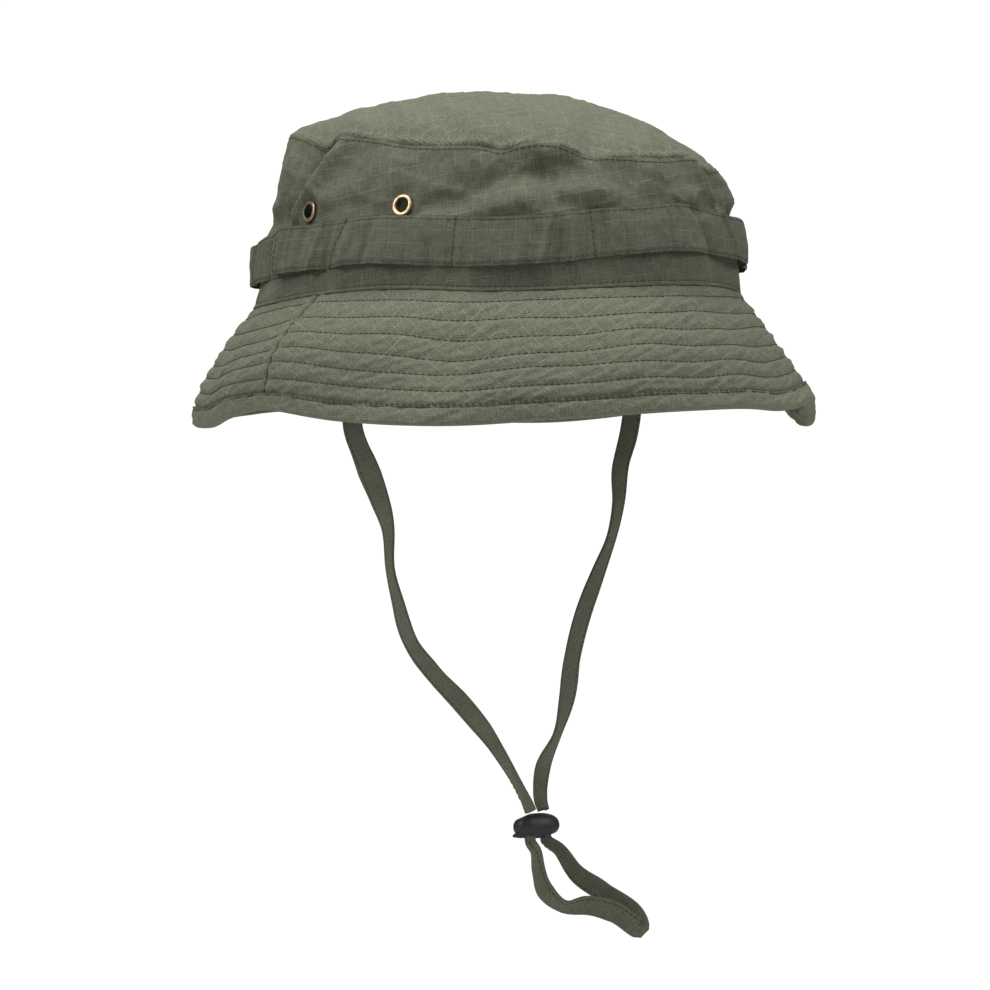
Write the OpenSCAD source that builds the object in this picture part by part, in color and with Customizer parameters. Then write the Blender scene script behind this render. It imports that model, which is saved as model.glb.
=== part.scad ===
/* [Head] */
// Outside width of the crown at the brim, ear to ear
head_w = 168; // [160:1:176]
// Outside length of the crown at the brim, front to back
head_l = 204; // [194:1:214]

/* [Crown] */
// Mean height of the crown's side, from the brim seam to the top seam
side_h = 59; // [54:1:64]
// How far the top seam leans in from the brim seam
taper = 11; // [6:1:14]
// How far the slumped top seam rises and falls about its mean height
slump = 8; // [0:1:10]
// Height of the top panel's dome above its seam
dome_h = 24; // [16:1:30]

/* [Brim] */
// How far the brim's hem stands out beyond the crown
brim_out = 29; // [24:1:34]
// How far the hem hangs below the brim seam
brim_drop = 45; // [40:1:50]
// Height of the four gentle waves round the hem
brim_wave = 3; // [0:0.5:4]
// Share of the brim's width that the hem's binding covers
hem_share = 0.14; // [0.1:0.01:0.2]

/* [Cloth] */
// Thickness of a layer of cloth with its seam allowance
cloth_t = 0.8; // [0.6:0.1:1]
// Thickness of the brim's stiff interlining
stiff_t = 1; // [0.8:0.1:1.2]
// Height of the sweatband
sweat_h = 28; // [24:1:30]

/* [Foliage band] */
// Height of the band's webbing
band_h = 18.5; // [16:0.5:18.5]
// Height of the band's lower edge above the brim seam
band_z = 10.3; // [9:0.1:10.5]
// Number of loops that the tack rows make round the crown
loop_count = 11; // [8:1:12]
// How far a loop stands off the crown
loop_bulge = 3.4; // [2:0.2:3.6]

/* [Vents] */
// Outer radius of a vent eyelet's rolled rim
rim_r = 4.2; // [3.8:0.1:4.4]
// Radius of the hole through a vent eyelet
vent_r = 2.65; // [2.4:0.05:2.8]
// Height of the vents above the brim seam
vent_z = 33.5; // [33.3:0.1:36]

/* [Chin strap] */
// Width of the folded tape
strap_w = 8.6; // [8:0.2:9.4]
// Thickness of the folded tape
strap_t = 1.4; // [1.2:0.1:1.6]
// Length of the slider, across its two holes
slider_l = 19.5; // [18:0.5:22]
// Depth of the slider
slider_d = 10; // [9:0.5:12]
// Height of the slider
slider_h = 10; // [9:0.5:11]
// Radius of the slider's two holes
slider_hole_r = 2.7; // [2.6:0.05:2.9]

/* [Hidden] */

olive = [0.36, 0.38, 0.29];
olive_dark = [0.30, 0.32, 0.25];
drab = [0.44, 0.44, 0.36];
antique_brass = [0.55, 0.45, 0.25];
near_black = [0.13, 0.12, 0.13];

clear = 0.1;          // air between two layers of cloth in one body
around = 56;          // steps round the oval
full = [for (i = [0:around - 1]) i * 360 / around];
front_half = [for (i = [0:around / 2]) 180.05 + i * 179.9 / (around / 2)];
back_half = [for (t = front_half) t - 180];
slump_to = 110;       // bearing of the top seam's highest point, counted from the wearer's left
brim_t = 2 * cloth_t + stiff_t + 2 * clear;
layer_end = 0.97;      // the brim's layers stop here, just inside the hem's fold
vent_cut_r = vent_r + 0.55;
rim_gap = 0.25;       // the oval's facets stay this far under a flange
washer_t = 0.5;
first_tack = 16;      // bearing of the band's first tack row
roll_r = 0.55;        // radius of the eyelet's rolled edges
// Bearings of the vents: right back, right front, left front, left back
vents = [167, 196, 344, 13];

// The strap's route from the right anchor to the left one, as the middle of the tape.
// Each point has its place, its turn about the route, where 0 faces the front right
// corner, and the tape's width there as a share of its full width.
anchor_x = 79.2;
anchor_z = 4;
run_right = [[-anchor_x, 0, anchor_z, 45, 1], [-anchor_x, 0, -16, 40, 1], [-78, 0, -35, 35, 1],
             [-78, 0, -49, 30, 1], [-71, 0, -63, 20, 1], [-63, 1, -77, 35, 1], [-58, 2, -88, 60, 1],
             [-56, 3, -102, 70, 1], [-51, 4, -115, 60, 1], [-44, 5, -130, 48, 1],
             [-31, 6, -143, 36, 1], [-15, 6, -156, 28, 1], [0, 5, -171, 45, 1], [9, 3, -184, 62, 0.9],
             [15, 1, -195, 60, 0.7]];
tail = [[17, -3, -216, 55, 0.7], [15, -7, -223, 48, 0.9], [16, -10, -231, 40, 1],
        [21, -15, -237, 50, 1], [30, -20, -237, 20, 1], [39, -26, -240, 6, 1], [46, -32, -246, 0, 1],
        [47, -28, -241, 0, 1], [42, -17, -233, -20, 1], [36, -8, -226, -35, 1], [32, -2, -217, -45, 0.7]];
run_left = [[28, 4, -196, -40, 0.7], [32, 7, -185, -45, 0.9], [41, 8, -172, -70, 1], [47, 8, -157, -45, 1],
            [49, 7, -141, -38, 1], [54, 6, -124, -40, 1], [62, 5, -107, -50, 1], [68, 3, -92, -65, 1],
            [71, 2, -78, -55, 1], [71, 1, -64, -36, 1], [75, 0, -50, -36, 1], [78, 0, -35, -38, 1],
            [anchor_x, 0, -16, -42, 1], [anchor_x, 0, anchor_z, -45, 1]];

// The slider's two holes stand upright, and the tape runs straight through each of them.
slider_at = [22.5, 1, -206.5];
hole_1 = [17, 0];
hole_2 = [28, 2];
gathered = 0.5;
function through(hole, way) =
    [for (z = [1, -1]) [hole[0], hole[1], slider_at[2] + way * z * slider_h * 0.6, way * 45, gathered]];
route = concat(run_right, through(hole_1, 1), tail, through(hole_2, -1), run_left);

function cross3(a, b) = [a[1] * b[2] - a[2] * b[1], a[2] * b[0] - a[0] * b[2], a[0] * b[1] - a[1] * b[0]];
function unit(v) = v / norm(v);
function place(p) = [p[0], p[1], p[2]];

// A point of the crown's oval: bearing t, d inwards from the brim seam's outside, height z.
function oval(t, d, z) = [(head_w / 2 - d) * cos(t), (head_l / 2 - d) * sin(t), z];
function seam_z(t) = side_h + slump * cos(t - slump_to);
function lean(t, z) = taper * pow(max(z, 0) / seam_z(t), 2.2);
function wall(t, z, d) = oval(t, lean(t, z) + d, z);

// The top panel from its seam, q = 0, to its middle, q = 1.
function top(t, q, d) =
    let (s = cos(90 * q), edge = oval(t, taper + d, 0))
    [edge[0] * s, edge[1] * s,
     side_h + clear + slump * s * cos(t - slump_to) + (dome_h - d) * pow(sin(90 * q), 1.36)];

// The brim from its seam, u = 0, to its hem, u = 1, at a depth d under its upper face.
function drop(t) = brim_drop + brim_wave * cos(4 * (t - 45));
function brim(t, u, d) =
    let (slope = [drop(t), 2 * brim_out * (1 - u)], n = slope / norm(slope))
    oval(t, n[0] * d - brim_out * (1 - (1 - u) * (1 - u)), -drop(t) * u - n[1] * d);

// A layer of cloth between an outer and an inner grid of points. Each grid is a list of
// columns round the oval, and each column runs upwards.
function tri(q) = [[q[0], q[1], q[2]], [q[0], q[2], q[3]]];
module cloth(outer, inner, closed = true) {
    n = len(outer);
    m = len(outer[0]);
    k = n * m;
    last = closed ? n - 1 : n - 2;
    skins = [for (i = [0:last], j = [0:m - 2]) let (a = i * m + j, b = ((i + 1) % n) * m + j)
        each concat(tri([a, a + 1, b + 1, b]), tri([k + a, k + b, k + b + 1, k + a + 1]))];
    rims = [for (i = [0:last]) let (a = i * m, b = ((i + 1) % n) * m, c = a + m - 1, e = b + m - 1)
        each concat(tri([a, b, k + b, k + a]), tri([e, c, k + c, k + e]))];
    z = (n - 1) * m;
    ends = closed ? [] : [for (j = [0:m - 2])
        each concat(tri([j + 1, j, k + j, k + j + 1]), tri([z + j, z + j + 1, k + z + j + 1, k + z + j]))];
    points = concat([for (column = outer) each column], [for (column = inner) each column]);
    polyhedron(points, concat(skins, rims, ends), convexity = 10);
}

module brim_layer(bearings, from, to, closed = false) {
    in = 1 - hem_share;
    rows = concat([layer_end], [for (i = [0:5]) in * (1 - i / 5) + 0.015 * i / 5]);
    cloth([for (t = bearings) [for (u = rows) brim(t, u, from)]],
          [for (t = bearings) [for (u = rows) brim(t, u, to)]], closed);
}

module side_strip(z_low, z_high, strips, d, thick) {
    cloth([for (t = full) [for (i = [0:strips]) wall(t, z_low(t) + (z_high(t) - z_low(t)) * i / strips, d)]],
          [for (t = full) [for (i = [0:strips])
              wall(t, z_low(t) + (z_high(t) - z_low(t)) * i / strips, d + thick)]]);
}

module crown_top() {
    strips = 6;
    n = len(full);
    m = strips;
    k = n * m;
    outer = [for (t = full, j = [0:m - 1]) top(t, j / strips, 0)];
    inner = [for (t = full, j = [0:m - 1]) top(t, j / strips, cloth_t)];
    peaks = [top(0, 1, 0), top(0, 1, cloth_t)];
    skins = [for (i = [0:n - 1], j = [0:m - 2]) let (a = i * m + j, b = ((i + 1) % n) * m + j)
        each concat(tri([a, a + 1, b + 1, b]), tri([k + a, k + b, k + b + 1, k + a + 1]))];
    rims = [for (i = [0:n - 1]) let (a = i * m, b = ((i + 1) % n) * m, c = a + m - 1, e = b + m - 1)
        each concat(tri([a, b, k + b, k + a]), [[e, c, 2 * k], [k + c, k + e, 2 * k + 1]])];
    color(olive) polyhedron(concat(outer, inner, peaks), concat(skins, rims), convexity = 10);
}

module crown_side() {
    color(olive) difference() {
        side_strip(function (t) 0.1, function (t) seam_z(t), 8, 0, cloth_t);
        for (t = vents) at_vent(t) translate([0, 0, -3]) cylinder(h = 6, r = vent_cut_r, $fn = 40);
    }
}

// The turned seam allowance that runs round inside the top seam
module crown_top_seam() {
    color(olive_dark) side_strip(function (t) seam_z(t) - 7, function (t) seam_z(t) - 0.4, 2,
                                 cloth_t + clear, 1.2);
}

module sweatband() {
    color(drab) side_strip(function (t) 0.2, function (t) sweat_h, 2, cloth_t + clear, cloth_t);
}

module brim_upper_front() { color(olive) brim_layer(front_half, 0, cloth_t); }
module brim_upper_back() { color(olive) brim_layer(back_half, 0, cloth_t); }
module brim_lower_front() { color(olive) brim_layer(front_half, brim_t - cloth_t, brim_t); }
module brim_lower_back() { color(olive) brim_layer(back_half, brim_t - cloth_t, brim_t); }
module brim_interlining() {
    color(drab) brim_layer(full, cloth_t + clear, cloth_t + clear + stiff_t, true);
}

// The hem's tape wraps the brim's edge: up the lower face, round the edge and up the upper face.
module brim_binding() {
    in = 1 - hem_share;
    outside = cloth_t + clear;
    faces = [in, layer_end, 1];
    function section(t, d) = concat([for (u = faces) brim(t, u, brim_t + d)],
                                    [brim(t, 1.01 + d / 60, brim_t / 2)],
                                    [for (i = [2:-1:0]) brim(t, faces[i], -d)]);
    color(olive_dark) cloth([for (t = full) section(t, outside)], [for (t = full) section(t, clear)]);
}

// The band is tacked to the crown between its loops, and each loop bows outwards.
module foliage_band() {
    steps = loop_count * 6;
    bearings = [for (i = [0:steps - 1]) first_tack + i * 360 / steps];
    function bow(t) = 0.25 + loop_bulge * pow(abs(sin((t - first_tack) * loop_count / 2)), 0.8);
    rows = [0, 0.5, 1];
    color(olive_dark) cloth(
        [for (t = bearings) [for (v = rows) wall(t, band_z + band_h * v, -bow(t) - cloth_t)]],
        [for (t = bearings) [for (v = rows) wall(t, band_z + band_h * v, -bow(t))]]);
}

// Stands +Z along the crown's outward normal at a vent.
module at_vent(t) {
    p = wall(t, vent_z, 0);
    facing = atan2(sin(t) / head_l, cos(t) / head_w);
    rise = wall(t, vent_z + 1, 0) - wall(t, vent_z - 1, 0);
    tilt = atan2(norm([rise[0], rise[1]]), rise[2]);
    translate(p) rotate([0, 90 - tilt, facing]) children();
}

// The eyelet's rolled rim outside and its barrel through the cloth
module vent_eyelet(t) {
    color(antique_brass) at_vent(t) rotate_extrude($fn = 48) {
        translate([vent_r, -cloth_t - 1]) square([0.35, cloth_t + 1 + rim_gap + roll_r]);
        translate([vent_r + roll_r, rim_gap]) square([rim_r - vent_r - 2 * roll_r, 2 * roll_r]);
        for (r = [vent_r + roll_r, rim_r - roll_r]) translate([r, rim_gap + roll_r]) circle(r = roll_r, $fn = 32);
    }
}

module eyelet_washer(t) {
    color(antique_brass) at_vent(t) translate([0, 0, -cloth_t - rim_gap - washer_t])
        rotate_extrude($fn = 48) translate([vent_r + 0.45, 0]) square([rim_r - vent_r - 0.45, washer_t]);
}

module vent_eyelet_right_back() { vent_eyelet(vents[0]); }
module vent_eyelet_right_front() { vent_eyelet(vents[1]); }
module vent_eyelet_left_front() { vent_eyelet(vents[2]); }
module vent_eyelet_left_back() { vent_eyelet(vents[3]); }
module eyelet_washer_right_back() { eyelet_washer(vents[0]); }
module eyelet_washer_right_front() { eyelet_washer(vents[1]); }
module eyelet_washer_left_front() { eyelet_washer(vents[2]); }
module eyelet_washer_left_back() { eyelet_washer(vents[3]); }

// The tab that is caught under the sweatband and carries an end of the strap
module strap_anchor(side) {
    tab = [1.2, 10, 7];
    color(olive_dark) translate([side * (anchor_x + strap_t / 2 + 0.3 + tab[0] / 2), 0, tab[2] / 2 + 0.5])
        cube(tab, center = true);
}
module strap_anchor_right() { strap_anchor(-1); }
module strap_anchor_left() { strap_anchor(1); }

// One flat tape, folded on itself at its lowest point, so both runs hang from one piece
module chin_strap() {
    sides = 8;
    n = len(route);
    face = unit([-1, -1, 0]);
    function along(i) = unit(place(route[min(i + 1, n - 1)]) - place(route[max(i - 1, 0)]));
    function ring(i) =
        let (run = along(i), flat = unit(cross3(run, face)), edge = cross3(run, flat), turn = route[i][3],
             wide = flat * cos(turn) + edge * sin(turn), thick = cross3(run, wide),
             w = strap_w * route[i][4], h = strap_t * (1 + 1.6 * (1 - route[i][4])))
        [for (a = [0:sides - 1]) let (q = 22.5 + a * 45)
            place(route[i]) + wide * w / 2 * cos(q) / cos(22.5) + thick * h / 2 * sin(q) / cos(22.5)];
    points = [for (i = [0:n - 1]) each ring(i)];
    skin = [for (i = [0:n - 2], a = [0:sides - 1])
        let (p = i * sides + a, q = i * sides + (a + 1) % sides)
        each tri([p, q, q + sides, p + sides])];
    ends = [for (a = [1:sides - 2]) each [[0, a + 1, a], [(n - 1) * sides, (n - 1) * sides + a,
                                                          (n - 1) * sides + a + 1]]];
    color(olive_dark) polyhedron(points, concat(skin, ends), convexity = 20);
}

// An oval keeper with a pinched end, drilled for the two runs of the tape
module strap_slider() {
    bearing = atan2(hole_2[1] - hole_1[1], hole_2[0] - hole_1[0]);
    r = slider_d / 2;
    reach = slider_l / 2 - r;
    soft = 1.5;
    color(near_black) difference() {
        translate(slider_at) rotate(bearing) {
            hull() for (x = [-reach, reach]) translate([x, 0, -slider_h / 2]) {
                translate([0, 0, soft]) cylinder(h = slider_h - 2 * soft, r = r, $fn = 32);
                cylinder(h = slider_h, r = r - soft, $fn = 32);
            }
            translate([-slider_l / 2 - 1.5, -1.5, -slider_h / 2]) cube([4, 3, 3]);
        }
        for (hole = [hole_1, hole_2]) translate([hole[0], hole[1], slider_at[2] - slider_h])
            cylinder(h = 2 * slider_h, r = slider_hole_r, $fn = 40);
    }
}

crown_top();
crown_side();
crown_top_seam();
sweatband();
brim_upper_front();
brim_upper_back();
brim_lower_front();
brim_lower_back();
brim_interlining();
brim_binding();
foliage_band();
vent_eyelet_right_front();
vent_eyelet_right_back();
vent_eyelet_left_front();
vent_eyelet_left_back();
eyelet_washer_right_front();
eyelet_washer_right_back();
eyelet_washer_left_front();
eyelet_washer_left_back();
strap_anchor_right();
strap_anchor_left();
chin_strap();
strap_slider();
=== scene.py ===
import math

import bpy
import numpy as np
from mathutils import Matrix, Vector


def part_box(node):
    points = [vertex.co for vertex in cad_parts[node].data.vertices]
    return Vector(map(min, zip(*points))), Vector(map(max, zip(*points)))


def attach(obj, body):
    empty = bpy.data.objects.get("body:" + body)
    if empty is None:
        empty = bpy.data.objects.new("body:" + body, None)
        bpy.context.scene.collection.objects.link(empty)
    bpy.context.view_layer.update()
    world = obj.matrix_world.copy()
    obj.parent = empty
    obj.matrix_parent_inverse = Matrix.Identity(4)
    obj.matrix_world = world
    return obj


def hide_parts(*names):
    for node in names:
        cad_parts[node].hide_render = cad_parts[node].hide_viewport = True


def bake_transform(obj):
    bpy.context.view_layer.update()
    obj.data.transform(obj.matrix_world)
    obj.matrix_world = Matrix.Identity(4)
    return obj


bl_info = {
    "name": "Boonie Hat",
    "version": (1, 0, 0),
    "blender": (4, 5, 0),
    "location": "View3D > Sidebar > Hat",
    "description": "Builds the cloth, stitching and chin strap of a boonie hat",
    "category": "Add Mesh",
}

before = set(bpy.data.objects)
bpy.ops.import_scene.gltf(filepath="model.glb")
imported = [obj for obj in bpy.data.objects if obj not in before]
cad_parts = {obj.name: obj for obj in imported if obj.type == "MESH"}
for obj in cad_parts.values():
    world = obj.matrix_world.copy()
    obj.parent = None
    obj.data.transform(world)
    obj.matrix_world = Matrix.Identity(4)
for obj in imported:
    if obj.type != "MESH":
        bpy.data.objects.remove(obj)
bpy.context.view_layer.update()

MM = 0.001
TAU = 2 * math.pi
# The oval of the crown at the brim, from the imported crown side
HALF_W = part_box("crown_side")[1][0] / MM
HALF_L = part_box("crown_side")[1][1] / MM
CLOTH = 0.8           # thickness of a layer with its seam allowance, mm
SLIDER_AT = [sum(c) / 2 for c in zip(*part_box("strap_slider"), strict=True)]


def vent_places():
    """Bearing in degrees and height in mm of each vent, from its packed eyelet."""
    places = {}
    for name in ("right_back", "right_front", "left_front", "left_back"):
        middle = sum(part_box("vent_eyelet_" + name), Vector()) / 2 / MM
        places[name] = (math.degrees(math.atan2(middle.y / HALF_L, middle.x / HALF_W)) % 360, middle.z)
    return places


VENTS = vent_places()


# ---------------------------------------------------------------- sizes and colours

def length(name, description, default):
    """A length of the panel, in metres."""
    return bpy.props.FloatProperty(name=name, description=description, default=default, unit="LENGTH")


def colour(name, description, default):
    """A colour of the panel."""
    return bpy.props.FloatVectorProperty(name=name, description=description, default=default, subtype="COLOR")


class HatSizes(bpy.types.PropertyGroup):
    side_height: length("Side height", "Mean height of the crown's side", 0.059)
    taper: length("Taper", "How far the top seam leans in", 0.011)
    slump: length("Slump", "Rise and fall of the top seam", 0.008)
    dome: length("Dome", "Height of the top panel above its seam", 0.0234)
    brim_thick: length("Brim thickness", "Both layers with the interlining", 0.0028)
    hem: bpy.props.FloatProperty(
        name="Hem", description="Share of the brim's width under the hem's tape", default=0.145)
    band_height: length("Band height", "Height of the foliage band", 0.0185)
    strap_width: length("Strap width", "Width of the folded tape", 0.0086)
    strap_thick: length("Strap thickness", "Thickness of the folded tape", 0.0013)
    stitch: length("Stitch", "Length of one stitch with its gap", 0.0024)
    thread: length("Thread", "Thickness of the sewing thread", 0.00034)


class HatColours(bpy.types.PropertyGroup):
    cloth: colour("Cloth", "Olive ripstop", (0.150, 0.160, 0.112))
    band: colour("Band", "Foliage band's ripstop", (0.138, 0.146, 0.103))
    tape: colour("Tape", "Folded tape of the strap", (0.126, 0.132, 0.094))
    sweat: colour("Sweatband", "Sweatband's twill", (0.150, 0.152, 0.112))
    thread: colour("Thread", "Sewing thread", (0.062, 0.067, 0.046))
    brass: colour("Brass", "Antique brass", (0.60, 0.43, 0.25))
    keeper: colour("Keeper", "Matt black keeper", (0.030, 0.027, 0.029))


def sizes():
    """The scene's sizes of the hat."""
    return bpy.context.scene.hat_sizes


def colours():
    """The scene's colours of the hat."""
    return bpy.context.scene.hat_colours


# ---------------------------------------------------------------- the hat's surfaces, in millimetres

def rad(degrees):
    """Degrees as radians."""
    return np.radians(degrees)


def apart(a, b):
    """Degrees from bearing b to bearing a, between -180 and 180."""
    return (a - b + 180) % 360 - 180


def unit(vectors):
    """The same directions with a length of 1."""
    return vectors / np.maximum(np.linalg.norm(vectors, axis=-1, keepdims=True), 1e-9)


def ring_curve(knots):
    """A smooth closed curve of bearing through given (bearing, value) knots."""
    at = np.array([k[0] for k in knots], float)
    value = np.array([k[1] for k in knots], float)
    n = len(at)
    span = (np.roll(at, -1) - at) % 360
    slope = (np.roll(value, -1) - value) / span
    bend = (np.roll(slope, 1) * span + slope * np.roll(span, 1)) / (span + np.roll(span, 1))

    def curve(t):
        t = np.asarray(t, float) % 360
        i = (np.searchsorted(at, t, side="right") - 1) % n
        j = (i + 1) % n
        h = span[i]
        s = ((t - at[i]) % 360) / h
        return (value[i] * (1 + 2 * s) * (1 - s) ** 2 + bend[i] * h * s * (1 - s) ** 2
                + value[j] * s * s * (3 - 2 * s) + bend[j] * h * s * s * (s - 1))
    return curve


# Each curve below lists (bearing, value): 180 is the wearer's right, 270 the front
# How far the hem hangs below the brim seam, mm
HEM_DROP = ring_curve([(2, 39), (30, 44), (60, 42), (86, 39.5), (107, 42), (128, 46.5), (147, 47.5),
                       (172, 41.5), (191, 46), (208, 48), (235, 45), (265, 41.5), (288, 40), (304, 37),
                       (316, 46.5), (320, 46), (326, 40), (345, 38)])
# How far the hem stands out beyond the crown's base, mm
HEM_OUT = ring_curve([(0, 28), (60, 28), (128, 24.5), (175, 27), (220, 28), (270, 28), (308, 29), (330, 28)])
# How the brim falls: 1 is straight from seam to hem, 2 leaves the seam level and then drops
BRIM_EASE = ring_curve([(0, 1.5), (50, 2), (130, 2), (215, 2), (250, 1.7), (282, 1.2), (309, 1.0),
                        (330, 1.1)])
# Where the brim seam wanders from a level oval, mm outwards and mm up
BASE_OUT = ring_curve([(0, 0), (60, 0.4), (100, 1.6), (132, 3.4), (152, 2.6), (174, 0.9), (205, 0),
                       (300, 0)])
BASE_UP = ring_curve([(0, 0), (90, -0.5), (128, -1.2), (150, -0.6), (172, 1.6), (192, 2.8), (220, 1.2),
                      (245, 2.8), (263, 4.2), (286, 4.4), (298, 3.2), (306, 1.2), (316, 0.4), (340, 0.6)])
# Where the top seam steps and dips from its plain slope, mm
SEAM_SHIFT = ring_curve([(0, 0.5), (60, -0.5), (120, 1), (143, 1.9), (158, -1.5), (166, -3.8), (171.5, 0.4),
                         (178, 0.4), (196, -2), (216, -0.9), (219.5, -1.6), (223, 0.5), (236, 1.5),
                         (241, -1.3), (249, -0.4), (264, 0.8), (277, 3.0), (282, 2.6), (287, 0), (304, 1.3),
                         (330, 0)])
VENT_CUT = 3.2        # radius of the hole in the cloth at each vent, mm
SPLIT = 173.5         # bearing of the brim's right side seam; the left one is opposite
SWEAT_TOP = 28.0      # height of the sweatband's upper edge, mm
SWEAT_ROW = 2.2       # from the sweatband's upper edge to its sewing, mm
BRIM_ROW = 1.5        # height of the sewing just above the brim seam, mm
BAND_ROW = 1.35       # from either edge of the foliage band to its sewing, mm
BRIM_WIDTH = 56.0     # from the seam to the hem along the cloth, mm
BRIM_FLAT = 183.0     # radius of the brim's flat cut at its seam, mm
MM_PER_DEGREE = 1.62  # of cloth round the oval
ROUND = 360 * MM_PER_DEGREE * MM
# Where the brim's stitch rows lie between the seam, 0, and the hem, 1
ROWS = [0.085, 0.222, 0.352, 0.485, 0.605, 0.735]


class Noise:
    """Smooth repeatable noise, as a sum of sines with seeded directions and phases."""

    def __init__(self, seed, wave, waves=14):
        rng = np.random.default_rng(seed)
        angle = rng.uniform(0, TAU, waves)
        k = TAU / wave * rng.uniform(0.6, 1.7, waves)
        self.kx = k * np.cos(angle)
        self.ky = k * np.sin(angle)
        self.phase = rng.uniform(0, TAU, waves)
        self.scale = 1 / math.sqrt(waves / 2)

    def __call__(self, x, y):
        x = np.asarray(x, float)
        total = np.zeros(np.broadcast(x, y).shape)
        for kx, ky, p in zip(self.kx, self.ky, self.phase, strict=True):
            total = total + np.sin(kx * x + ky * y + p)
        return total * self.scale


class RingNoise(Noise):
    """Noise on the oval: x is a bearing in degrees, which wraps, and y is millimetres up the cloth."""

    def __init__(self, seed, wave, around=600, waves=14, slant=0.0):
        super().__init__(seed, wave, waves)
        turns = np.maximum(1, np.round(np.abs(self.kx) * around / TAU))
        self.kx = np.sign(self.kx) * turns * TAU / 360
        self.ky = self.ky + slant * self.kx


def oval(t, out, z):
    """Points at a bearing, a distance out from the crown's base oval and a height."""
    t, out, z = np.broadcast_arrays(np.asarray(t, float), np.asarray(out, float), np.asarray(z, float))
    return np.stack([(HALF_W + out) * np.cos(rad(t)), (HALF_L + out) * np.sin(rad(t)), z], -1)


def seam_z(t):
    """Height of the top seam."""
    return sizes().side_height / MM + sizes().slump / MM * np.cos(rad(t - 110)) + SEAM_SHIFT(t)


def lean(t, z):
    """How far the crown's side leans in at a height."""
    return sizes().taper / MM * np.clip(z / seam_z(t), 0, None) ** 2.2


# Soft folds of the crown's side: route as (bearing, height mm), width mm, height mm
FOLDS = [
    ([(177, 64), (171.5, 53), (167, 43), (161, 34)], 4.6, 3.6),
    ([(168, 60), (162.5, 49), (158, 39), (152, 32)], 4.4, -3.8),
    ([(150, 56), (148, 44)], 5.0, 1.6),
    ([(205, 62), (192, 50), (182, 40)], 8.0, 1.8),
    ([(188, 44), (183, 34)], 4.5, -1.6),
    ([(230, 46), (221, 42), (210, 37.5), (199, 33)], 5.2, -3.4),
    ([(226, 35), (214, 32)], 4.0, 1.6),
    ([(216, 54), (206, 47)], 7.0, 1.5),
    ([(237, 47), (232, 41)], 7.0, -4.0),
    ([(240.5, 56), (242.5, 45), (243, 35)], 4.2, 3.0),
    ([(252, 40), (262, 37)], 5.0, -1.6),
    ([(262, 50), (268, 44)], 8.0, 1.5),
    ([(277, 56), (280, 48), (284, 39)], 4.2, 2.6),
    ([(284, 52), (288, 43), (296, 36)], 4.4, -3.2),
    ([(298, 52), (306, 42)], 6.0, 1.8),
    ([(322, 60), (332, 46), (340, 38)], 6.0, -2.6),
    ([(352, 58), (356, 46), (4, 38)], 6.0, 2.8),
    ([(18, 60), (26, 48), (38, 38)], 5.0, -3.0),
    ([(48, 62), (58, 50), (62, 38)], 6.5, 2.6),
    ([(78, 64), (72, 50), (66, 40)], 5.0, -2.8),
    ([(104, 64), (98, 50), (90, 38)], 6.0, 2.6),
    ([(128, 64), (122, 50), (116, 38)], 5.0, -2.6),
    ([(118, 35), (150, 35)], 11.0, -3.4),
    ([(196, 12), (206, 7), (214, 9)], 5.0, -0.7),
    ([(286, 14), (296, 8), (304, 9)], 5.0, -0.9),
    ([(150, 14), (140, 8), (132, 6)], 5.0, -0.8),
    ([(30, 14), (44, 8), (60, 7)], 6.0, -0.8),
]


def fold_height(t, z, folds):
    """Height of soft folds that follow routes over the cloth."""
    total = np.zeros(np.broadcast(t, z).shape)
    for route, width, height in folds:
        nearest = np.full(total.shape, 1e9)
        for a, b in zip(route[:-1], route[1:], strict=True):
            step = np.array([apart(b[0], a[0]) * MM_PER_DEGREE, b[1] - a[1]])
            dx = apart(t, a[0]) * MM_PER_DEGREE
            dy = z - a[1]
            s = np.clip((dx * step[0] + dy * step[1]) / (step @ step), 0, 1)
            d = np.hypot(dx - s * step[0], dy - s * step[1])
            nearest = np.minimum(nearest, d)
        total += height * np.exp(-(nearest / width) ** 2)
    return total


SLACK = RingNoise(3, 46)
CREASE = RingNoise(8, 15, slant=0.35)
FINE = RingNoise(21, 6.5, waves=20)
TOP_WELT = RingNoise(33, 24, waves=10)
SLUMP = RingNoise(37, 40, waves=8)


def seam_ripple(t):
    """The small regular puckers that the top seam's sewing draws up, from -1 to 1."""
    return np.sin(rad(t) * 47 + 2.2 * np.sin(rad(t) * 9))


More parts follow.
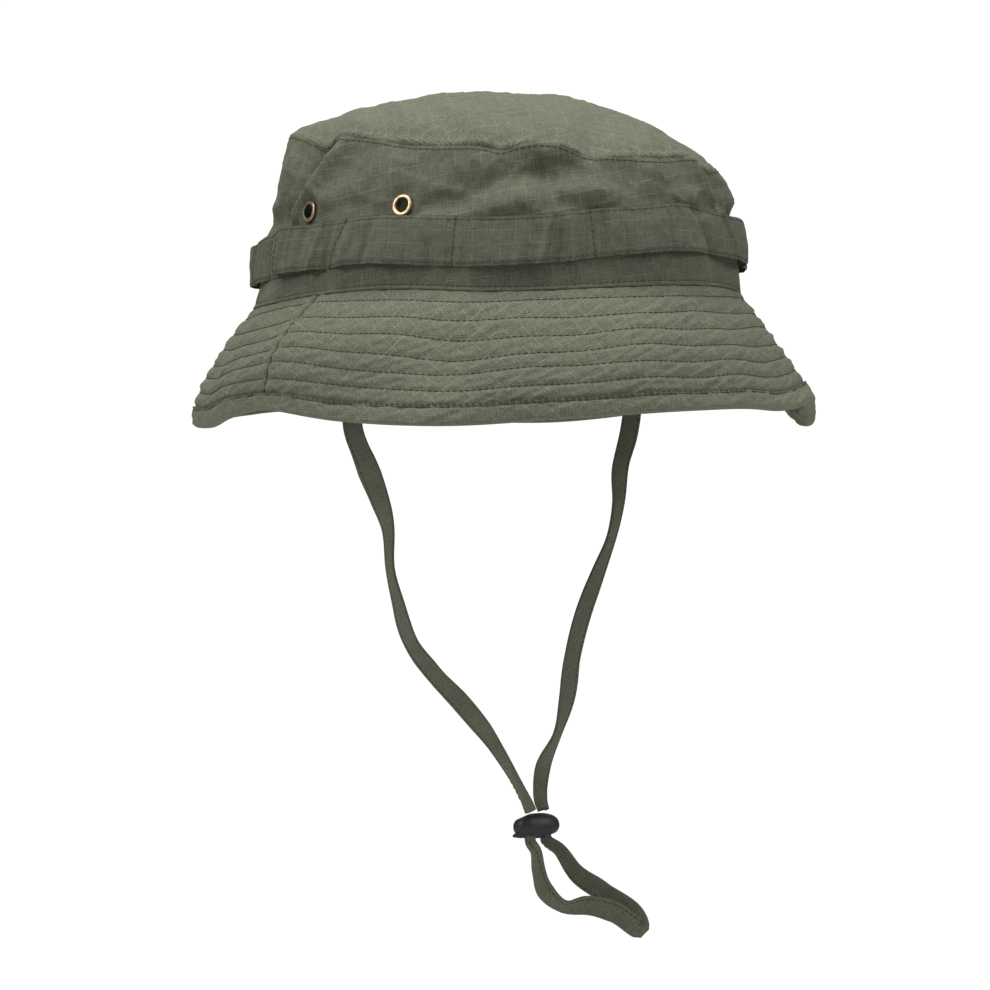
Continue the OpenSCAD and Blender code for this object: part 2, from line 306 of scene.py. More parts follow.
def side_bulge(t, z):
    """How far the crown's side stands proud of its plain shape: slack, folds and puckers at its seams."""
    high = np.clip(z / seam_z(t), 0, 1)
    free = np.clip(high * 4, 0, 1) * np.clip((1 - high) * 6 + 0.25, 0, 1)
    slack = 0.8 * SLACK(t, z)
    creases = 0.34 * (1 - 2 * np.abs(np.tanh(CREASE(t, z)))) + 0.10 * FINE(t, z)
    near_seam = np.exp(-((seam_z(t) - z) / 5) ** 2)
    puckers = near_seam * 0.45 * seam_ripple(t) * np.clip(SLACK(t, 60), 0, 1)
    near_brim = np.exp(-(z / 4) ** 2)
    base = near_brim * 0.18 * np.sin(rad(t) * 61 + 2 * np.sin(rad(t) * 7))
    lip = 0.7 * np.exp(-(z / 0.9) ** 4)
    sewn = -0.25 * np.exp(-((z - BRIM_ROW) / 0.5) ** 2)
    # Behind the foliage band the cloth is held flatter, and it slumps over the band's upper edge
    held = 1 - 0.7 / (1 + np.exp((z - 30) / 1.6))
    over = np.exp(-((z - 38.5) / 3.4) ** 2) - 0.5 * np.exp(-((z - 32) / 2.6) ** 2)
    over = over * np.clip(1 + SLUMP(t, 0), 0, 2)
    loose = free * (slack + over + fold_height(t, z, FOLDS)) + creases * free
    return loose * held * vent_fade(t, z) + puckers + base + lip + sewn


def side_point(t, z, proud=0.0):
    """A point of the crown's side at a bearing and a height, so far outside its face."""
    foot = np.exp(-(np.clip(z, 0, None) / 9) ** 2)
    return oval(t, side_bulge(t, z) - lean(t, z) + proud + BASE_OUT(t) * foot, z + BASE_UP(t) * foot)


# Ridges of the top panel: a bearing and share of the radius at each end, width mm, height mm
TOP_FOLDS = [
    ((232, 0.98), (205, 0.62), 5.0, -2.2), ((245, 0.96), (262, 0.70), 6.0, -2.0),
    ((214, 0.97), (190, 0.66), 4.5, 1.2), ((205, 0.95), (178, 0.62), 4.0, -1.0),
    ((196, 0.96), (160, 0.62), 4.5, 1.0), ((186, 0.95), (148, 0.66), 4.0, -0.9),
    ((176, 0.95), (136, 0.70), 5.0, 0.9), ((224, 0.9), (232, 0.5), 8.0, 0.9),
    ((262, 0.97), (285, 0.78), 4.0, 1.0), ((280, 0.98), (300, 0.82), 5.0, -1.2),
    ((320, 0.97), (345, 0.7), 7.0, 1.4), ((350, 0.97), (20, 0.62), 7.0, -1.6),
    ((20, 0.97), (50, 0.7), 6.0, 1.4), ((60, 0.97), (90, 0.66), 7.0, -1.6),
    ((100, 0.97), (120, 0.6), 6.0, 1.2), ((140, 0.97), (118, 0.7), 5.0, -1.2),
    ((140, 0.78), (132, 0.58), 20.0, -2.2), ((318, 0.92), (322, 0.6), 22.0, -2.9),
]
TOP_SLACK = Noise(11, 48)
TOP_CREASE = Noise(15, 17)
TOP_FINE = Noise(27, 6, waves=18)


def top_point(t, q, deep=0.0):
    """The top panel from its seam, q = 0, to its middle, q = 1, at a depth under its face."""
    s = np.cos(np.pi / 2 * q)
    edge = oval(t, -sizes().taper / MM + side_bulge(t, seam_z(t)) * (1 - q) ** 2 - deep, 0)
    x, y = edge[..., 0] * s, edge[..., 1] * s
    slump = sizes().slump / MM * s * s * np.cos(rad(t - 110))
    rise = (sizes().dome / MM - deep) * np.sin(np.pi / 2 * q) ** 1.36
    z = sizes().side_height / MM + slump + SEAM_SHIFT(t) * s ** 14 + rise
    bump = 0.7 * TOP_SLACK(x, y) * np.sin(np.pi / 2 * q)
    bump = bump + 0.26 * (1 - 2 * np.abs(np.tanh(TOP_CREASE(x, y)))) + 0.07 * TOP_FINE(x, y)
    bump = bump + 0.15 * np.exp(-(q / 0.1) ** 2) * seam_ripple(t)
    for (t1, s1), (t2, s2), width, height in TOP_FOLDS:
        a = oval(t1, -sizes().taper / MM, 0)[:2] * s1
        b = oval(t2, -sizes().taper / MM, 0)[:2] * s2
        step = b - a
        along = np.clip(((x - a[0]) * step[0] + (y - a[1]) * step[1]) / (step @ step), 0, 1)
        d = np.hypot(x - a[0] - along * step[0], y - a[1] - along * step[1])
        bump = bump + 1.3 * height * np.exp(-(d / width) ** 2) * (1 - 0.6 * along)
    bump = bump * np.clip(q * 14, 0.2, 1)
    # The panel is pushed along its own outward direction: mostly out near the seam, mostly up inside it
    flat = np.sin(np.pi / 2 * q) ** 0.8
    out = unit(oval(t, 0, 0))
    side = bump * (1 - flat)
    return np.stack([x + out[..., 0] * side, y + out[..., 1] * side, z + bump * flat], -1)


ROW_WAVE = [RingNoise(40 + i, 70, waves=8) for i in range(len(ROWS) + 1)]
HEM_WANDER = 0.0022   # how far the hem's edge wanders, as a share of the brim's width
BRIM_SLACK = RingNoise(61, 60)
PUCKER = RingNoise(71, 9, waves=22, slant=0.8)
PUCKER_FINE = RingNoise(75, 4.5, waves=22, slant=-0.6)


def row_share(i, t):
    """Where a row lies: one of the stitch rows, or after them the hem's two. They wander a little."""
    u = ROWS[i] if i < len(ROWS) else 1 - sizes().hem + 0.010 + 0.020 * (i - len(ROWS))
    wander = 0.0055 if i < len(ROWS) else HEM_WANDER
    return u + wander * ROW_WAVE[min(i, len(ROWS))](t, 0)


def hem_start(t):
    """Where the hem's tape begins."""
    return 1 - sizes().hem + 0.7 * HEM_WANDER * ROW_WAVE[len(ROWS)](t, 0)


def brim_frame(t, u):
    """The brim's plain upper face: how far out, how high, and its outward direction as (out, z)."""
    drop, out, ease = HEM_DROP(t), HEM_OUT(t), BRIM_EASE(t)
    left = np.clip(1 - u, 0.01, 1)
    slope = np.stack([drop * np.ones_like(u), ease * out * left ** (ease - 1) + 2], -1)
    return out * (1 - np.sign(1 - u) * np.abs(1 - u) ** ease), -drop * u, unit(slope)


def brim_puff(t, u, lower=False):
    """Cloth puffs up between the stitch rows, dips at each row and puckers across them."""
    lines = [row_share(i, t) for i in range(len(ROWS) + 2)]
    nearest = np.min(np.abs(np.stack([u - line for line in lines], 0)), axis=0) * BRIM_WIDTH
    dip = 1 - np.exp(-(nearest / 1.3) ** 2)
    puckers = 0.17 * PUCKER(t, u * BRIM_WIDTH) + 0.07 * PUCKER_FINE(t, u * BRIM_WIDTH)
    between = np.clip(nearest / 2.2, 0, 1) * np.clip(u * 12, 0, 1)
    share = 0.6 if lower else 1.0
    tucked = 0.5 * np.exp(-(u * BRIM_WIDTH / 0.9) ** 2)
    return share * (0.55 * dip + puckers * (0.35 + 0.65 * between)) - 0.3 * share - tucked


def brim_point(t, u, deep=0.0, puff=0.0):
    """A point of the brim at a depth, mm, under its plain upper face."""
    t, u = np.broadcast_arrays(np.asarray(t, float), np.asarray(u, float))
    out, z, normal = brim_frame(t, u)
    near = np.clip(1 - u, 0, 1) ** 1.6
    out, z = out + BASE_OUT(t) * near, z + BASE_UP(t) * near
    sag = 0.9 * BRIM_SLACK(t, u * 50) * np.clip(u * 3, 0, 1)
    lift = puff + sag - deep
    return oval(t, out + normal[..., 0] * lift, z + normal[..., 1] * lift)


# ---------------------------------------------------------------- making meshes

def new_piece(name, points, faces, uv=None):
    """A smooth mesh from points in millimetres. uv has a pair in metres for each corner of each face."""
    mesh = bpy.data.meshes.new(name)
    mesh.from_pydata((np.asarray(points) * MM).tolist(), [], faces)
    if uv is not None:
        layer = mesh.uv_layers.new(name="cloth")
        layer.data.foreach_set("uv", np.asarray(uv, np.float32).ravel())
    mesh.validate()
    mesh.update()
    mesh.polygons.foreach_set("use_smooth", [True] * len(mesh.polygons))
    piece = bpy.data.objects.new(name, mesh)
    bpy.context.scene.collection.objects.link(piece)
    return piece


def grid_faces(n, m, closed, base=0, flip=False):
    """Quads of an n by m grid whose columns run upwards, as seen from outside."""
    i = np.arange(n if closed else n - 1)[:, None]
    j = np.arange(m - 1)[None, :]
    a = i * m + j
    b = ((i + 1) % n) * m + j
    quads = np.stack([a, b, b + 1, a + 1], -1).reshape(-1, 4) + base
    return quads[:, ::-1] if flip else quads


def grid_uv(uv, n, m, closed, wrap):
    """The (u, v) of each corner of grid_faces, with the last column's u carried on past the wrap."""
    i = np.arange(n if closed else n - 1)[:, None]
    j = np.arange(m - 1)[None, :]
    over = np.zeros((len(i), 1, 2))
    if closed:
        over[-1, 0, 0] = wrap
    here = uv[i, j]
    there = uv[(i + 1) % n, j] + over
    return np.stack([here, there, uv[(i + 1) % n, j + 1] + over, uv[i, j + 1]], -2).reshape(-1, 4, 2)


def cloth_shell(name, outer, inner, uv, closed, wrap=0.0, gone=None):
    """A closed layer of cloth between an outer and an inner grid. gone marks cells that are cut out."""
    n, m = outer.shape[:2]
    k = n * m
    corner_uv = grid_uv(uv, n, m, closed, wrap)
    kept = slice(None) if gone is None else ~gone.reshape(-1)
    faces = [grid_faces(n, m, closed)[kept], grid_faces(n, m, closed, k, flip=True)[kept]]
    uvs = [corner_uv[kept], corner_uv[kept][:, ::-1]]
    for i, j in ([] if gone is None else np.argwhere(gone)):
        a, b = i * m + j, ((i + 1) % n) * m + j
        for p, q, beside in ((a, b, (i, j - 1)), (b, b + 1, ((i + 1) % n, j)),
                             (b + 1, a + 1, (i, j + 1)), (a + 1, a, (i - 1, j))):
            if not gone[beside]:
                faces.append(np.array([[p, q, q + k, p + k]]))
                uvs.append(np.repeat(uv[i, j][None, None], 4, axis=1))
    i = np.arange(n if closed else n - 1)
    nxt = (i + 1) % n
    for row, order in ((0, 1), (m - 1, -1)):
        a, b = i * m + row, nxt * m + row
        faces.append(np.stack([a, k + a, k + b, b], -1)[:, ::order])
        strip = np.stack([uv[i, row], uv[i, row], uv[nxt, row], uv[nxt, row]], 1)
        uvs.append(strip[:, ::order])
    if not closed:
        j = np.arange(m - 1)
        for column, order in ((0, -1), (n - 1, 1)):
            a = column * m + j
            faces.append(np.stack([a, k + a, k + a + 1, a + 1], -1)[:, ::order])
            strip = np.stack([uv[column, j], uv[column, j], uv[column, j + 1], uv[column, j + 1]], 1)
            uvs.append(strip[:, ::order])
    points = np.concatenate([outer.reshape(-1, 3), inner.reshape(-1, 3)])
    return new_piece(name, points, np.concatenate(faces).tolist(), np.concatenate(uvs))


def spread(u, v):
    """(u, v) pairs of cloth at every point of a grid, from millimetres to metres."""
    return np.stack(np.broadcast_arrays(np.asarray(u, float), np.asarray(v, float)), -1) * MM


def bearings(n):
    """n bearings round the hat, as a column."""
    return np.linspace(0, 360, n, endpoint=False)[:, None]


def path_length(path):
    """Length of a line through points."""
    return float(np.linalg.norm(np.diff(path, axis=0), axis=1).sum())


def finish_piece(piece, material, body="hat", replaces=()):
    """Gives a piece its material, the CAD node that it replaces and the body that it rides on."""
    piece.data.materials.clear()
    piece.data.materials.append(material)
    if replaces:
        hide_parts(*replaces)
    if body:
        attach(piece, body)
    return piece


# ---------------------------------------------------------------- stitches

STITCH_SIDES = 5


def stitches(path, normal, length=None, lift=0.0, thickness=None, closed=False, seed=1):
    """Sewing thread along a path: short rounded bars that dive into the cloth at both ends."""
    jitter = 0.12
    length = length or sizes().stitch / MM
    radius = (thickness or sizes().thread / MM) / 2
    path = np.asarray(path, float)
    normal = np.asarray(normal, float)
    if closed:
        path = np.concatenate([path, path[:1]])
        normal = np.concatenate([normal, normal[:1]])
    travelled = np.concatenate([[0], np.cumsum(np.linalg.norm(np.diff(path, axis=0), axis=1))])
    count = max(1, int(travelled[-1] / length))
    rng = np.random.default_rng(seed)
    # Five rings make each bar: their place along the stitch, their height and their thickness
    along = np.array([0.0, 0.07, 0.42, 0.77, 0.84]) * length
    arch = np.array([-0.9, 0.35, 0.75, 0.35, -0.9]) * radius
    scale = np.array([0.5, 0.95, 1.0, 0.95, 0.5]) * radius
    start = (np.arange(count) / count) * travelled[-1] + rng.normal(0, jitter * 0.3, count)
    at = np.clip(start[:, None] + along[None, :], 0, travelled[-1])

    def sample(values):
        return np.stack([np.interp(at, travelled, values[:, c]) for c in range(3)], -1)

    centre = sample(path)
    up = unit(sample(normal))
    run = unit(centre[:, -1] - centre[:, 0])
    side = unit(np.cross(up, run[:, None, :]))
    sway = rng.normal(0, jitter * 0.6, (count, 1, 1)) * radius
    centre = centre + up * (arch[None, :, None] + lift) + side * sway
    angle = np.arange(STITCH_SIDES) * TAU / STITCH_SIDES
    ring = (side[:, :, None, :] * np.cos(angle)[None, None, :, None]
            + up[:, :, None, :] * np.sin(angle)[None, None, :, None]) * scale[None, :, None, None]
    points = (centre[:, :, None, :] + ring).reshape(-1, 3)
    rings = len(along)
    one = []
    for r in range(rings - 1):
        for a in range(STITCH_SIDES):
            b = (a + 1) % STITCH_SIDES
            one.append([r * STITCH_SIDES + a, (r + 1) * STITCH_SIDES + a,
                        (r + 1) * STITCH_SIDES + b, r * STITCH_SIDES + b])
    last = (rings - 1) * STITCH_SIDES
    one += [list(range(STITCH_SIDES)), [last + a for a in reversed(range(STITCH_SIDES))]]
    size = rings * STITCH_SIDES
    return points, [[s * size + v for v in face] for s in range(count) for face in one]


def joined(name, parts):
    """One piece from several (points, faces) lists."""
    points, faces, base = [], [], 0
    for p, f in parts:
        points.append(p)
        faces += [[v + base for v in face] for face in f]
        base += len(p)
    return new_piece(name, np.concatenate(points), faces)


def surface_normal(f, a, b, da, db):
    """Outward direction of a surface f(a, b), from its neighbours."""
    return unit(np.cross(f(a + da, b) - f(a - da, b), f(a, b + db) - f(a, b - db)))


# ---------------------------------------------------------------- paint

class Wire:
    """A node socket on which Python arithmetic adds Math nodes."""

    def __init__(self, paint, socket):
        self.paint = paint
        self.socket = socket

    def math(self, operation, *others, flipped=False):
        terms = [*others, self] if flipped else [self, *others]
        return self.paint.node("ShaderNodeMath", {"operation": operation}, dict(enumerate(terms)))

    def __add__(self, other):
        return self.math("ADD", other)

    def __sub__(self, other):
        return self.math("SUBTRACT", other)

    def __rsub__(self, other):
        return self.math("SUBTRACT", other, flipped=True)

    def __mul__(self, other):
        return self.math("MULTIPLY", other)

    def __truediv__(self, other):
        return self.math("DIVIDE", other)

    def __pow__(self, other):
        return self.math("POWER", other)

    __radd__ = __add__
    __rmul__ = __mul__


class Paint:
    """Builds one material's nodes round its Principled shader."""

    def __init__(self, name, roughness=0.8, metallic=0.0, **constants):
        self.material = bpy.data.materials.new(name)
        self.material.use_nodes = True
        self.nodes = self.material.node_tree.nodes
        self.links = self.material.node_tree.links
        self.shader = self.nodes["Principled BSDF"]
        self.put(self.shader, {"Roughness": roughness, "Metallic": metallic,
                               **{k.replace("_", " "): v for k, v in constants.items()}})

    def put(self, node, sockets):
        for key, value in sockets.items():
            target = node.inputs[key]
            if isinstance(value, Wire):
                self.links.new(value.socket, target)
            else:
                target.default_value = value

    def node(self, kind, settings=None, sockets=None, out=0):
        made = self.nodes.new(kind)
        for key, value in (settings or {}).items():
            setattr(made, key, value)
        self.put(made, sockets or {})
        return Wire(self, made.outputs[out])

    def cloth_place(self, scale=(1, 1, 1), turn=0.0):
        uv = self.node("ShaderNodeUVMap", {"uv_map": "cloth"})
        return self.node("ShaderNodeMapping", {}, {"Vector": uv, "Rotation": (0, 0, math.radians(turn)),
                                                   "Scale": scale})

    def object_place(self, scale=(1, 1, 1)):
        place = self.node("ShaderNodeTexCoord", out="Object")
        return self.node("ShaderNodeMapping", {}, {"Vector": place, "Scale": scale})

    def noise(self, place, scale, detail=2.0, roughness=0.5):
        return self.node("ShaderNodeTexNoise", {}, {"Vector": place, "Scale": scale, "Detail": detail,
                                                    "Roughness": roughness})

    def split(self, vector):
        made = self.node("ShaderNodeSeparateXYZ", {}, {"Vector": vector}).socket.node
        return Wire(self, made.outputs[0]), Wire(self, made.outputs[1])

    def ramp(self, value, low, high, to_low=0.0, to_high=1.0):
        sockets = {"Value": value, "From Min": low, "From Max": high, "To Min": to_low, "To Max": to_high}
        return self.node("ShaderNodeMapRange", {"interpolation_type": "SMOOTHSTEP"}, sockets)

    def mix(self, factor, a, b):
        made = self.node("ShaderNodeMix", {"data_type": "RGBA"}).socket.node
        self.put(made, {0: factor})
        for index, value in ((6, a), (7, b)):
            if isinstance(value, Wire):
                self.links.new(value.socket, made.inputs[index])
            else:
                made.inputs[index].default_value = (*value[:3], 1)
        return Wire(self, made.outputs[2])

    def finish(self, colour, height, distance, strength=1.0, roughness=None):
        bump = self.node("ShaderNodeBump", {}, {"Height": height, "Distance": distance, "Strength": strength})
        self.put(self.shader, {"Base Color": colour, "Normal": bump})
        if roughness is not None:
            self.put(self.shader, {"Roughness": roughness})
        return self.material


def tint(colour, factor):
    """A colour made lighter or darker."""
    return tuple(min(1.0, c * factor) for c in colour)


WEAVE = 0.00082       # two threads of the plain weave, m


def threads(paint, place, pitch, width, wobble):
    """The thick rip-stop threads: thin lines across each direction of the weave."""
    x, y = paint.split(place)
    drift = (wobble - 0.5) * 0.12

    def lines(along):
        from_line = ((along / pitch + drift).math("FRACT") - 0.5).math("ABSOLUTE")
        return paint.ramp(from_line * pitch, width * 0.5, width * 1.3, 1, 0)
    return lines(x), lines(y)


def ripstop(name, colour, turn=0.0, contrast=1.0):
    """Olive cotton rip-stop: slubby plain weave with thicker threads in a grid."""
    paint = Paint(name, roughness=0.88, Sheen_Weight=0.18, Sheen_Roughness=0.5, Specular_IOR_Level=0.22,
                  Sheen_Tint=(*tint(colour, 3.2), 1))
    place = paint.cloth_place(turn=turn)
    wobble = paint.noise(place, 90, 1)
    across, up = threads(paint, place, 0.0052, 0.00022, wobble)
    broken = paint.ramp(paint.noise(place, 170, 2), 0.34, 0.62, 0.1, 1)
    speckled = paint.ramp(paint.noise(place, 1300, 1), 0.34, 0.60, 0.2, 1)
    grid = (across * 0.75).math("MAXIMUM", up) * broken * speckled
    x, y = paint.split(place)
    wander = paint.noise(place, 260, 2) * 5
    warp = (x * (TAU / WEAVE) + wander).math("SINE")
    weft = (y * (TAU / WEAVE) + wander).math("SINE")
    slub_a = paint.noise(paint.cloth_place((1, 0.12, 1), turn), 1700, 1, 0.6)
    slub_b = paint.noise(paint.cloth_place((0.12, 1, 1), turn), 1700, 1, 0.6)
    speck = paint.noise(place, 3400, 0)
    weave = warp * weft * 0.22 + (slub_a + slub_b) * 0.42 + speck * 0.8 - 0.32
    cloud = paint.noise(place, 26, 3, 0.55)
    shade = (weave - 0.5) * (1.9 * contrast) + (cloud - 0.5) * 0.25 + 0.5
    body = paint.mix(paint.ramp(shade, 0.0, 1.0), tint(colour, 0.60), tint(colour, 1.42))
    light = paint.mix(grid * (0.66 * contrast), body, tint(colour, 2.0))
    height = weave * 0.7 + grid * 0.6
    rough = paint.ramp(weave, 0.3, 0.7, 0.94, 0.82)
    return paint.finish(light, height, 0.00024, 0.75, rough)


def twill(name, colour, pitch=0.0011, contrast=1.0):
    """Close diagonal weave of a tape or sweatband."""
    paint = Paint(name, roughness=0.86, Sheen_Weight=0.2, Sheen_Roughness=0.5, Specular_IOR_Level=0.25,
                  Sheen_Tint=(*tint(colour, 3.0), 1))
    place = paint.cloth_place()
    x, y = paint.split(place)
    noise = paint.noise(place, 700, 2)
    wale = ((x + y) * (TAU / pitch) + noise * 1.5).math("SINE") * 0.5 + 0.5
    speck = paint.noise(paint.cloth_place((1, 0.3, 1)), 2400, 2, 0.6)
    cloud = paint.noise(place, 60, 3, 0.6)
    shade = wale * (0.25 * contrast) + (speck - 0.5) * 1.5 + (cloud - 0.5) * 0.8 + 0.42
    body = paint.mix(paint.ramp(shade, 0.0, 1.0), tint(colour, 0.68), tint(colour, 1.35))
    return paint.finish(body, wale * 0.6 + speck * 0.5, 0.00022, 0.8)


def thread_paint(name, colour):
    """Dull sewing thread."""
    paint = Paint(name, roughness=0.75, Specular_IOR_Level=0.3)
    place = paint.object_place()
    fine = paint.noise(place, 2600, 2)
    body = paint.mix(fine, tint(colour, 0.6), tint(colour, 1.5))
    return paint.finish(body, fine, 0.0001, 0.6)


def brass_paint(name, colour, centre, axis):
    """Antique brass, rubbed to a shine on the roll, and painted near black down the barrel about the axis:
    painted shade that stands in for the dark of the hole.
    """
    paint = Paint(name, roughness=0.42, metallic=1.0)
    place = paint.object_place()
    cloud = paint.noise(place, 420, 3, 0.6)
    fine = paint.noise(place, 2600, 2, 0.6)
    patina = paint.ramp(cloud * 0.7 + fine * 0.3, 0.34, 0.6)
    rubbed = paint.mix(patina, tint(colour, 0.62), tint(colour, 1.2))
    away = paint.node("ShaderNodeVectorMath", {"operation": "SUBTRACT"}, {0: place, 1: centre})
    turned = paint.node("ShaderNodeVectorMath", {"operation": "CROSS_PRODUCT"}, {0: away, 1: axis})
    radius = paint.node("ShaderNodeVectorMath", {"operation": "LENGTH"}, {0: turned}, out="Value")
    # Painted shade: inside the barrel's radius the brass is painted near black and less metallic, standing in
    # for the dark of the hole. The mask is 1 clear of that painted shade and 0 inside it.
    clear_of_painted_barrel_shade = paint.ramp(radius, 0.00275, 0.0030)
    paint.put(paint.shader, {"Metallic": paint.ramp(clear_of_painted_barrel_shade, 0, 1, 0.3, 1)})
    # The near-black colour is the barrel's painted shade.
    body = paint.mix(clear_of_painted_barrel_shade, (0.016, 0.015, 0.020), rubbed)
    rough = paint.ramp(clear_of_painted_barrel_shade + (cloud - 0.5), 0, 1, 0.75, 0.40)
    return paint.finish(body, fine, 0.00004, 0.5, rough)


def keeper_paint(name, colour):
    """Matt moulded black with a faint purple cast and fine handling marks."""
    paint = Paint(name, roughness=0.46, Specular_IOR_Level=0.42)
    place = paint.object_place()
    cloud = paint.noise(place, 160, 3, 0.6)
    fine = paint.noise(place, 2400, 2, 0.6)
    body = paint.mix(paint.ramp(cloud, 0.3, 0.7), tint(colour, 0.8), tint(colour, 1.3))
    rough = paint.ramp(cloud * 0.6 + fine * 0.4, 0.35, 0.65, 0.40, 0.58)
    return paint.finish(body, fine, 0.00005, 0.6, rough)


MATERIALS = {
    # Painted shade: the crown's side takes the cloth darkened to 0.83, a shaded copy of the top's and the
    # brim's cloth.
    "crown": lambda c: ripstop("crown ripstop", tint(c.cloth, 0.83), turn=-9),
    "top": lambda c: ripstop("top ripstop", c.cloth, turn=38),
    "brim": lambda c: ripstop("brim ripstop", c.cloth, turn=20),
    # Painted shade: the band's ripstop is darkened to 0.80 of its own colour.
    "band": lambda c: ripstop("band ripstop", tint(c.band, 0.80), contrast=0.9),
    # Painted light: the hem's tape takes the cloth lightened to 1.1, a lit copy of the brim's cloth.
    "hem": lambda c: ripstop("hem ripstop", tint(c.cloth, 1.1), turn=45, contrast=0.9),
    "under": lambda c: ripstop("under brim ripstop", c.cloth, turn=20),
    "tape": lambda c: twill("strap tape", c.tape),
    "sweat": lambda c: twill("sweatband twill", c.sweat, 0.0014),
    "stiffener": lambda c: twill("stiffener", tint(c.sweat, 1.5), 0.0010, 0.6),
    "thread": lambda c: thread_paint("dark thread", c.thread),
    "keeper": lambda c: keeper_paint("black keeper", c.keeper),
}


def paint(kind):
    """The material of that kind, made the first time it is asked for."""
    if kind not in bpy.data.materials:
        material = MATERIALS[kind](colours())
        material.name = kind
    return bpy.data.materials[kind]


# ---------------------------------------------------------------- strap

FACE = np.array([-1, -1, 0]) / math.sqrt(2)
# The strap's route, as part.scad has it: place in mm, turn in degrees, share of the full width
RUN_RIGHT = [(-79.2, 0, 4, 45, 1), (-79.2, 0, -16, 40, 1), (-78, 0, -35, 35, 1), (-78, 0, -49, 30, 1),
             (-71, 0, -63, 20, 1), (-63, 1, -77, 35, 1), (-58, 2, -88, 60, 1), (-56, 3, -102, 70, 1),
             (-51, 4, -115, 60, 1), (-44, 5, -130, 48, 1), (-31, 6, -143, 36, 1), (-15, 6, -156, 28, 1),
             (0, 5, -171, 45, 1), (9, 3, -184, 62, 0.9), (15, 1, -195, 60, 0.7), (17, 0, -200.5, 45, 0.5)]
TAIL = [(17, 0, -206, 45, 0.5), (17, 0, -212.5, 45, 0.5), (17, -3, -216, 55, 0.7), (15, -7, -223, 48, 0.9),
        (16, -10, -231, 40, 1), (21, -15, -237, 50, 1), (30, -20, -237, 20, 1), (39, -26, -240, 6, 1),
        (46, -32, -246, 0, 1), (47, -28, -241, 0, 1), (42, -17, -233, -20, 1), (36, -8, -226, -35, 1),
        (32, -2, -217, -45, 0.7), (28, 2, -212.5, -45, 0.5), (28, 2, -206, -45, 0.5)]
RUN_LEFT = [(79.2, 0, 4, -45, 1), (79.2, 0, -16, -42, 1), (78, 0, -35, -38, 1), (75, 0, -50, -36, 1),
            (71, 1, -64, -36, 1), (71, 2, -78, -55, 1), (68, 3, -92, -65, 1), (62, 5, -107, -50, 1),
            (54, 6, -124, -40, 1), (49, 7, -141, -38, 1), (47, 8, -157, -45, 1), (41, 8, -172, -70, 1),
            (32, 7, -185, -45, 0.9), (28, 4, -196, -40, 0.7), (28, 2, -200.5, -45, 0.5)]
STEPS = 9             # points of the finished route for each point of the list


def smooth_route(points, steps=STEPS):
    """A centripetal curve through the list's points, with turn and width carried along."""
    p = np.array(points, float)
    ends = np.vstack([2 * p[0] - p[1], p, 2 * p[-1] - p[-2]])
    out = []
    for i in range(1, len(ends) - 2):
        a, b, c, d = ends[i - 1:i + 3]
        k = [0.0]
        for start, stop in ((a, b), (b, c), (c, d)):
            k.append(k[-1] + max(np.linalg.norm(stop[:3] - start[:3]), 1e-3) ** 0.5)
        for s in np.linspace(k[1], k[2], steps, endpoint=False):
            ab = (k[1] - s) / (k[1] - k[0]) * a + (s - k[0]) / (k[1] - k[0]) * b
            bc = (k[2] - s) / (k[2] - k[1]) * b + (s - k[1]) / (k[2] - k[1]) * c
            cd = (k[3] - s) / (k[3] - k[2]) * c + (s - k[2]) / (k[3] - k[2]) * d
            abc = (k[2] - s) / (k[2] - k[0]) * ab + (s - k[0]) / (k[2] - k[0]) * bc
            bcd = (k[3] - s) / (k[3] - k[1]) * bc + (s - k[1]) / (k[3] - k[1]) * cd
            out.append((k[2] - s) / (k[2] - k[1]) * abc + (s - k[1]) / (k[2] - k[1]) * bcd)
    out.append(p[-1])
    return np.array(out)


# Half of the tape's section, from one edge over the face to the other: share of the half width,
# share of the half thickness. The tape is folded, so one edge is round and the other has two lips.
TAPE_FACE = [(-1.0, 0.0), (-0.985, 0.55), (-0.93, 0.92), (-0.84, 1.0), (-0.74, 0.94), (-0.685, 0.74),
             (-0.63, 0.94), (-0.5, 1.02), (-0.25, 1.05), (0.0, 1.06), (0.25, 1.05), (0.5, 1.02), (0.72, 1.0),
             (0.88, 0.98), (0.965, 0.85), (0.995, 0.5), (1.0, 0.16), (0.955, 0.0)]


def tape_frame(route):
    """Middle, width direction and face direction at each point of a route."""
    centre = route[:, :3]
    run = unit(np.gradient(centre, axis=0))
    flat = unit(np.cross(run, FACE))
    edge = np.cross(run, flat)
    turn = rad(route[:, 3])[:, None]
    wide = flat * np.cos(turn) + edge * np.sin(turn)
    return centre, wide, np.cross(run, wide)


def tape_halves(route):
    """Half of the tape's width and of its thickness, mm: it bunches where it is squeezed narrow."""
    share = route[:, 4]
    return sizes().strap_width / MM / 2 * share, sizes().strap_thick / MM / 2 * (1 + 1.8 * (1 - share))


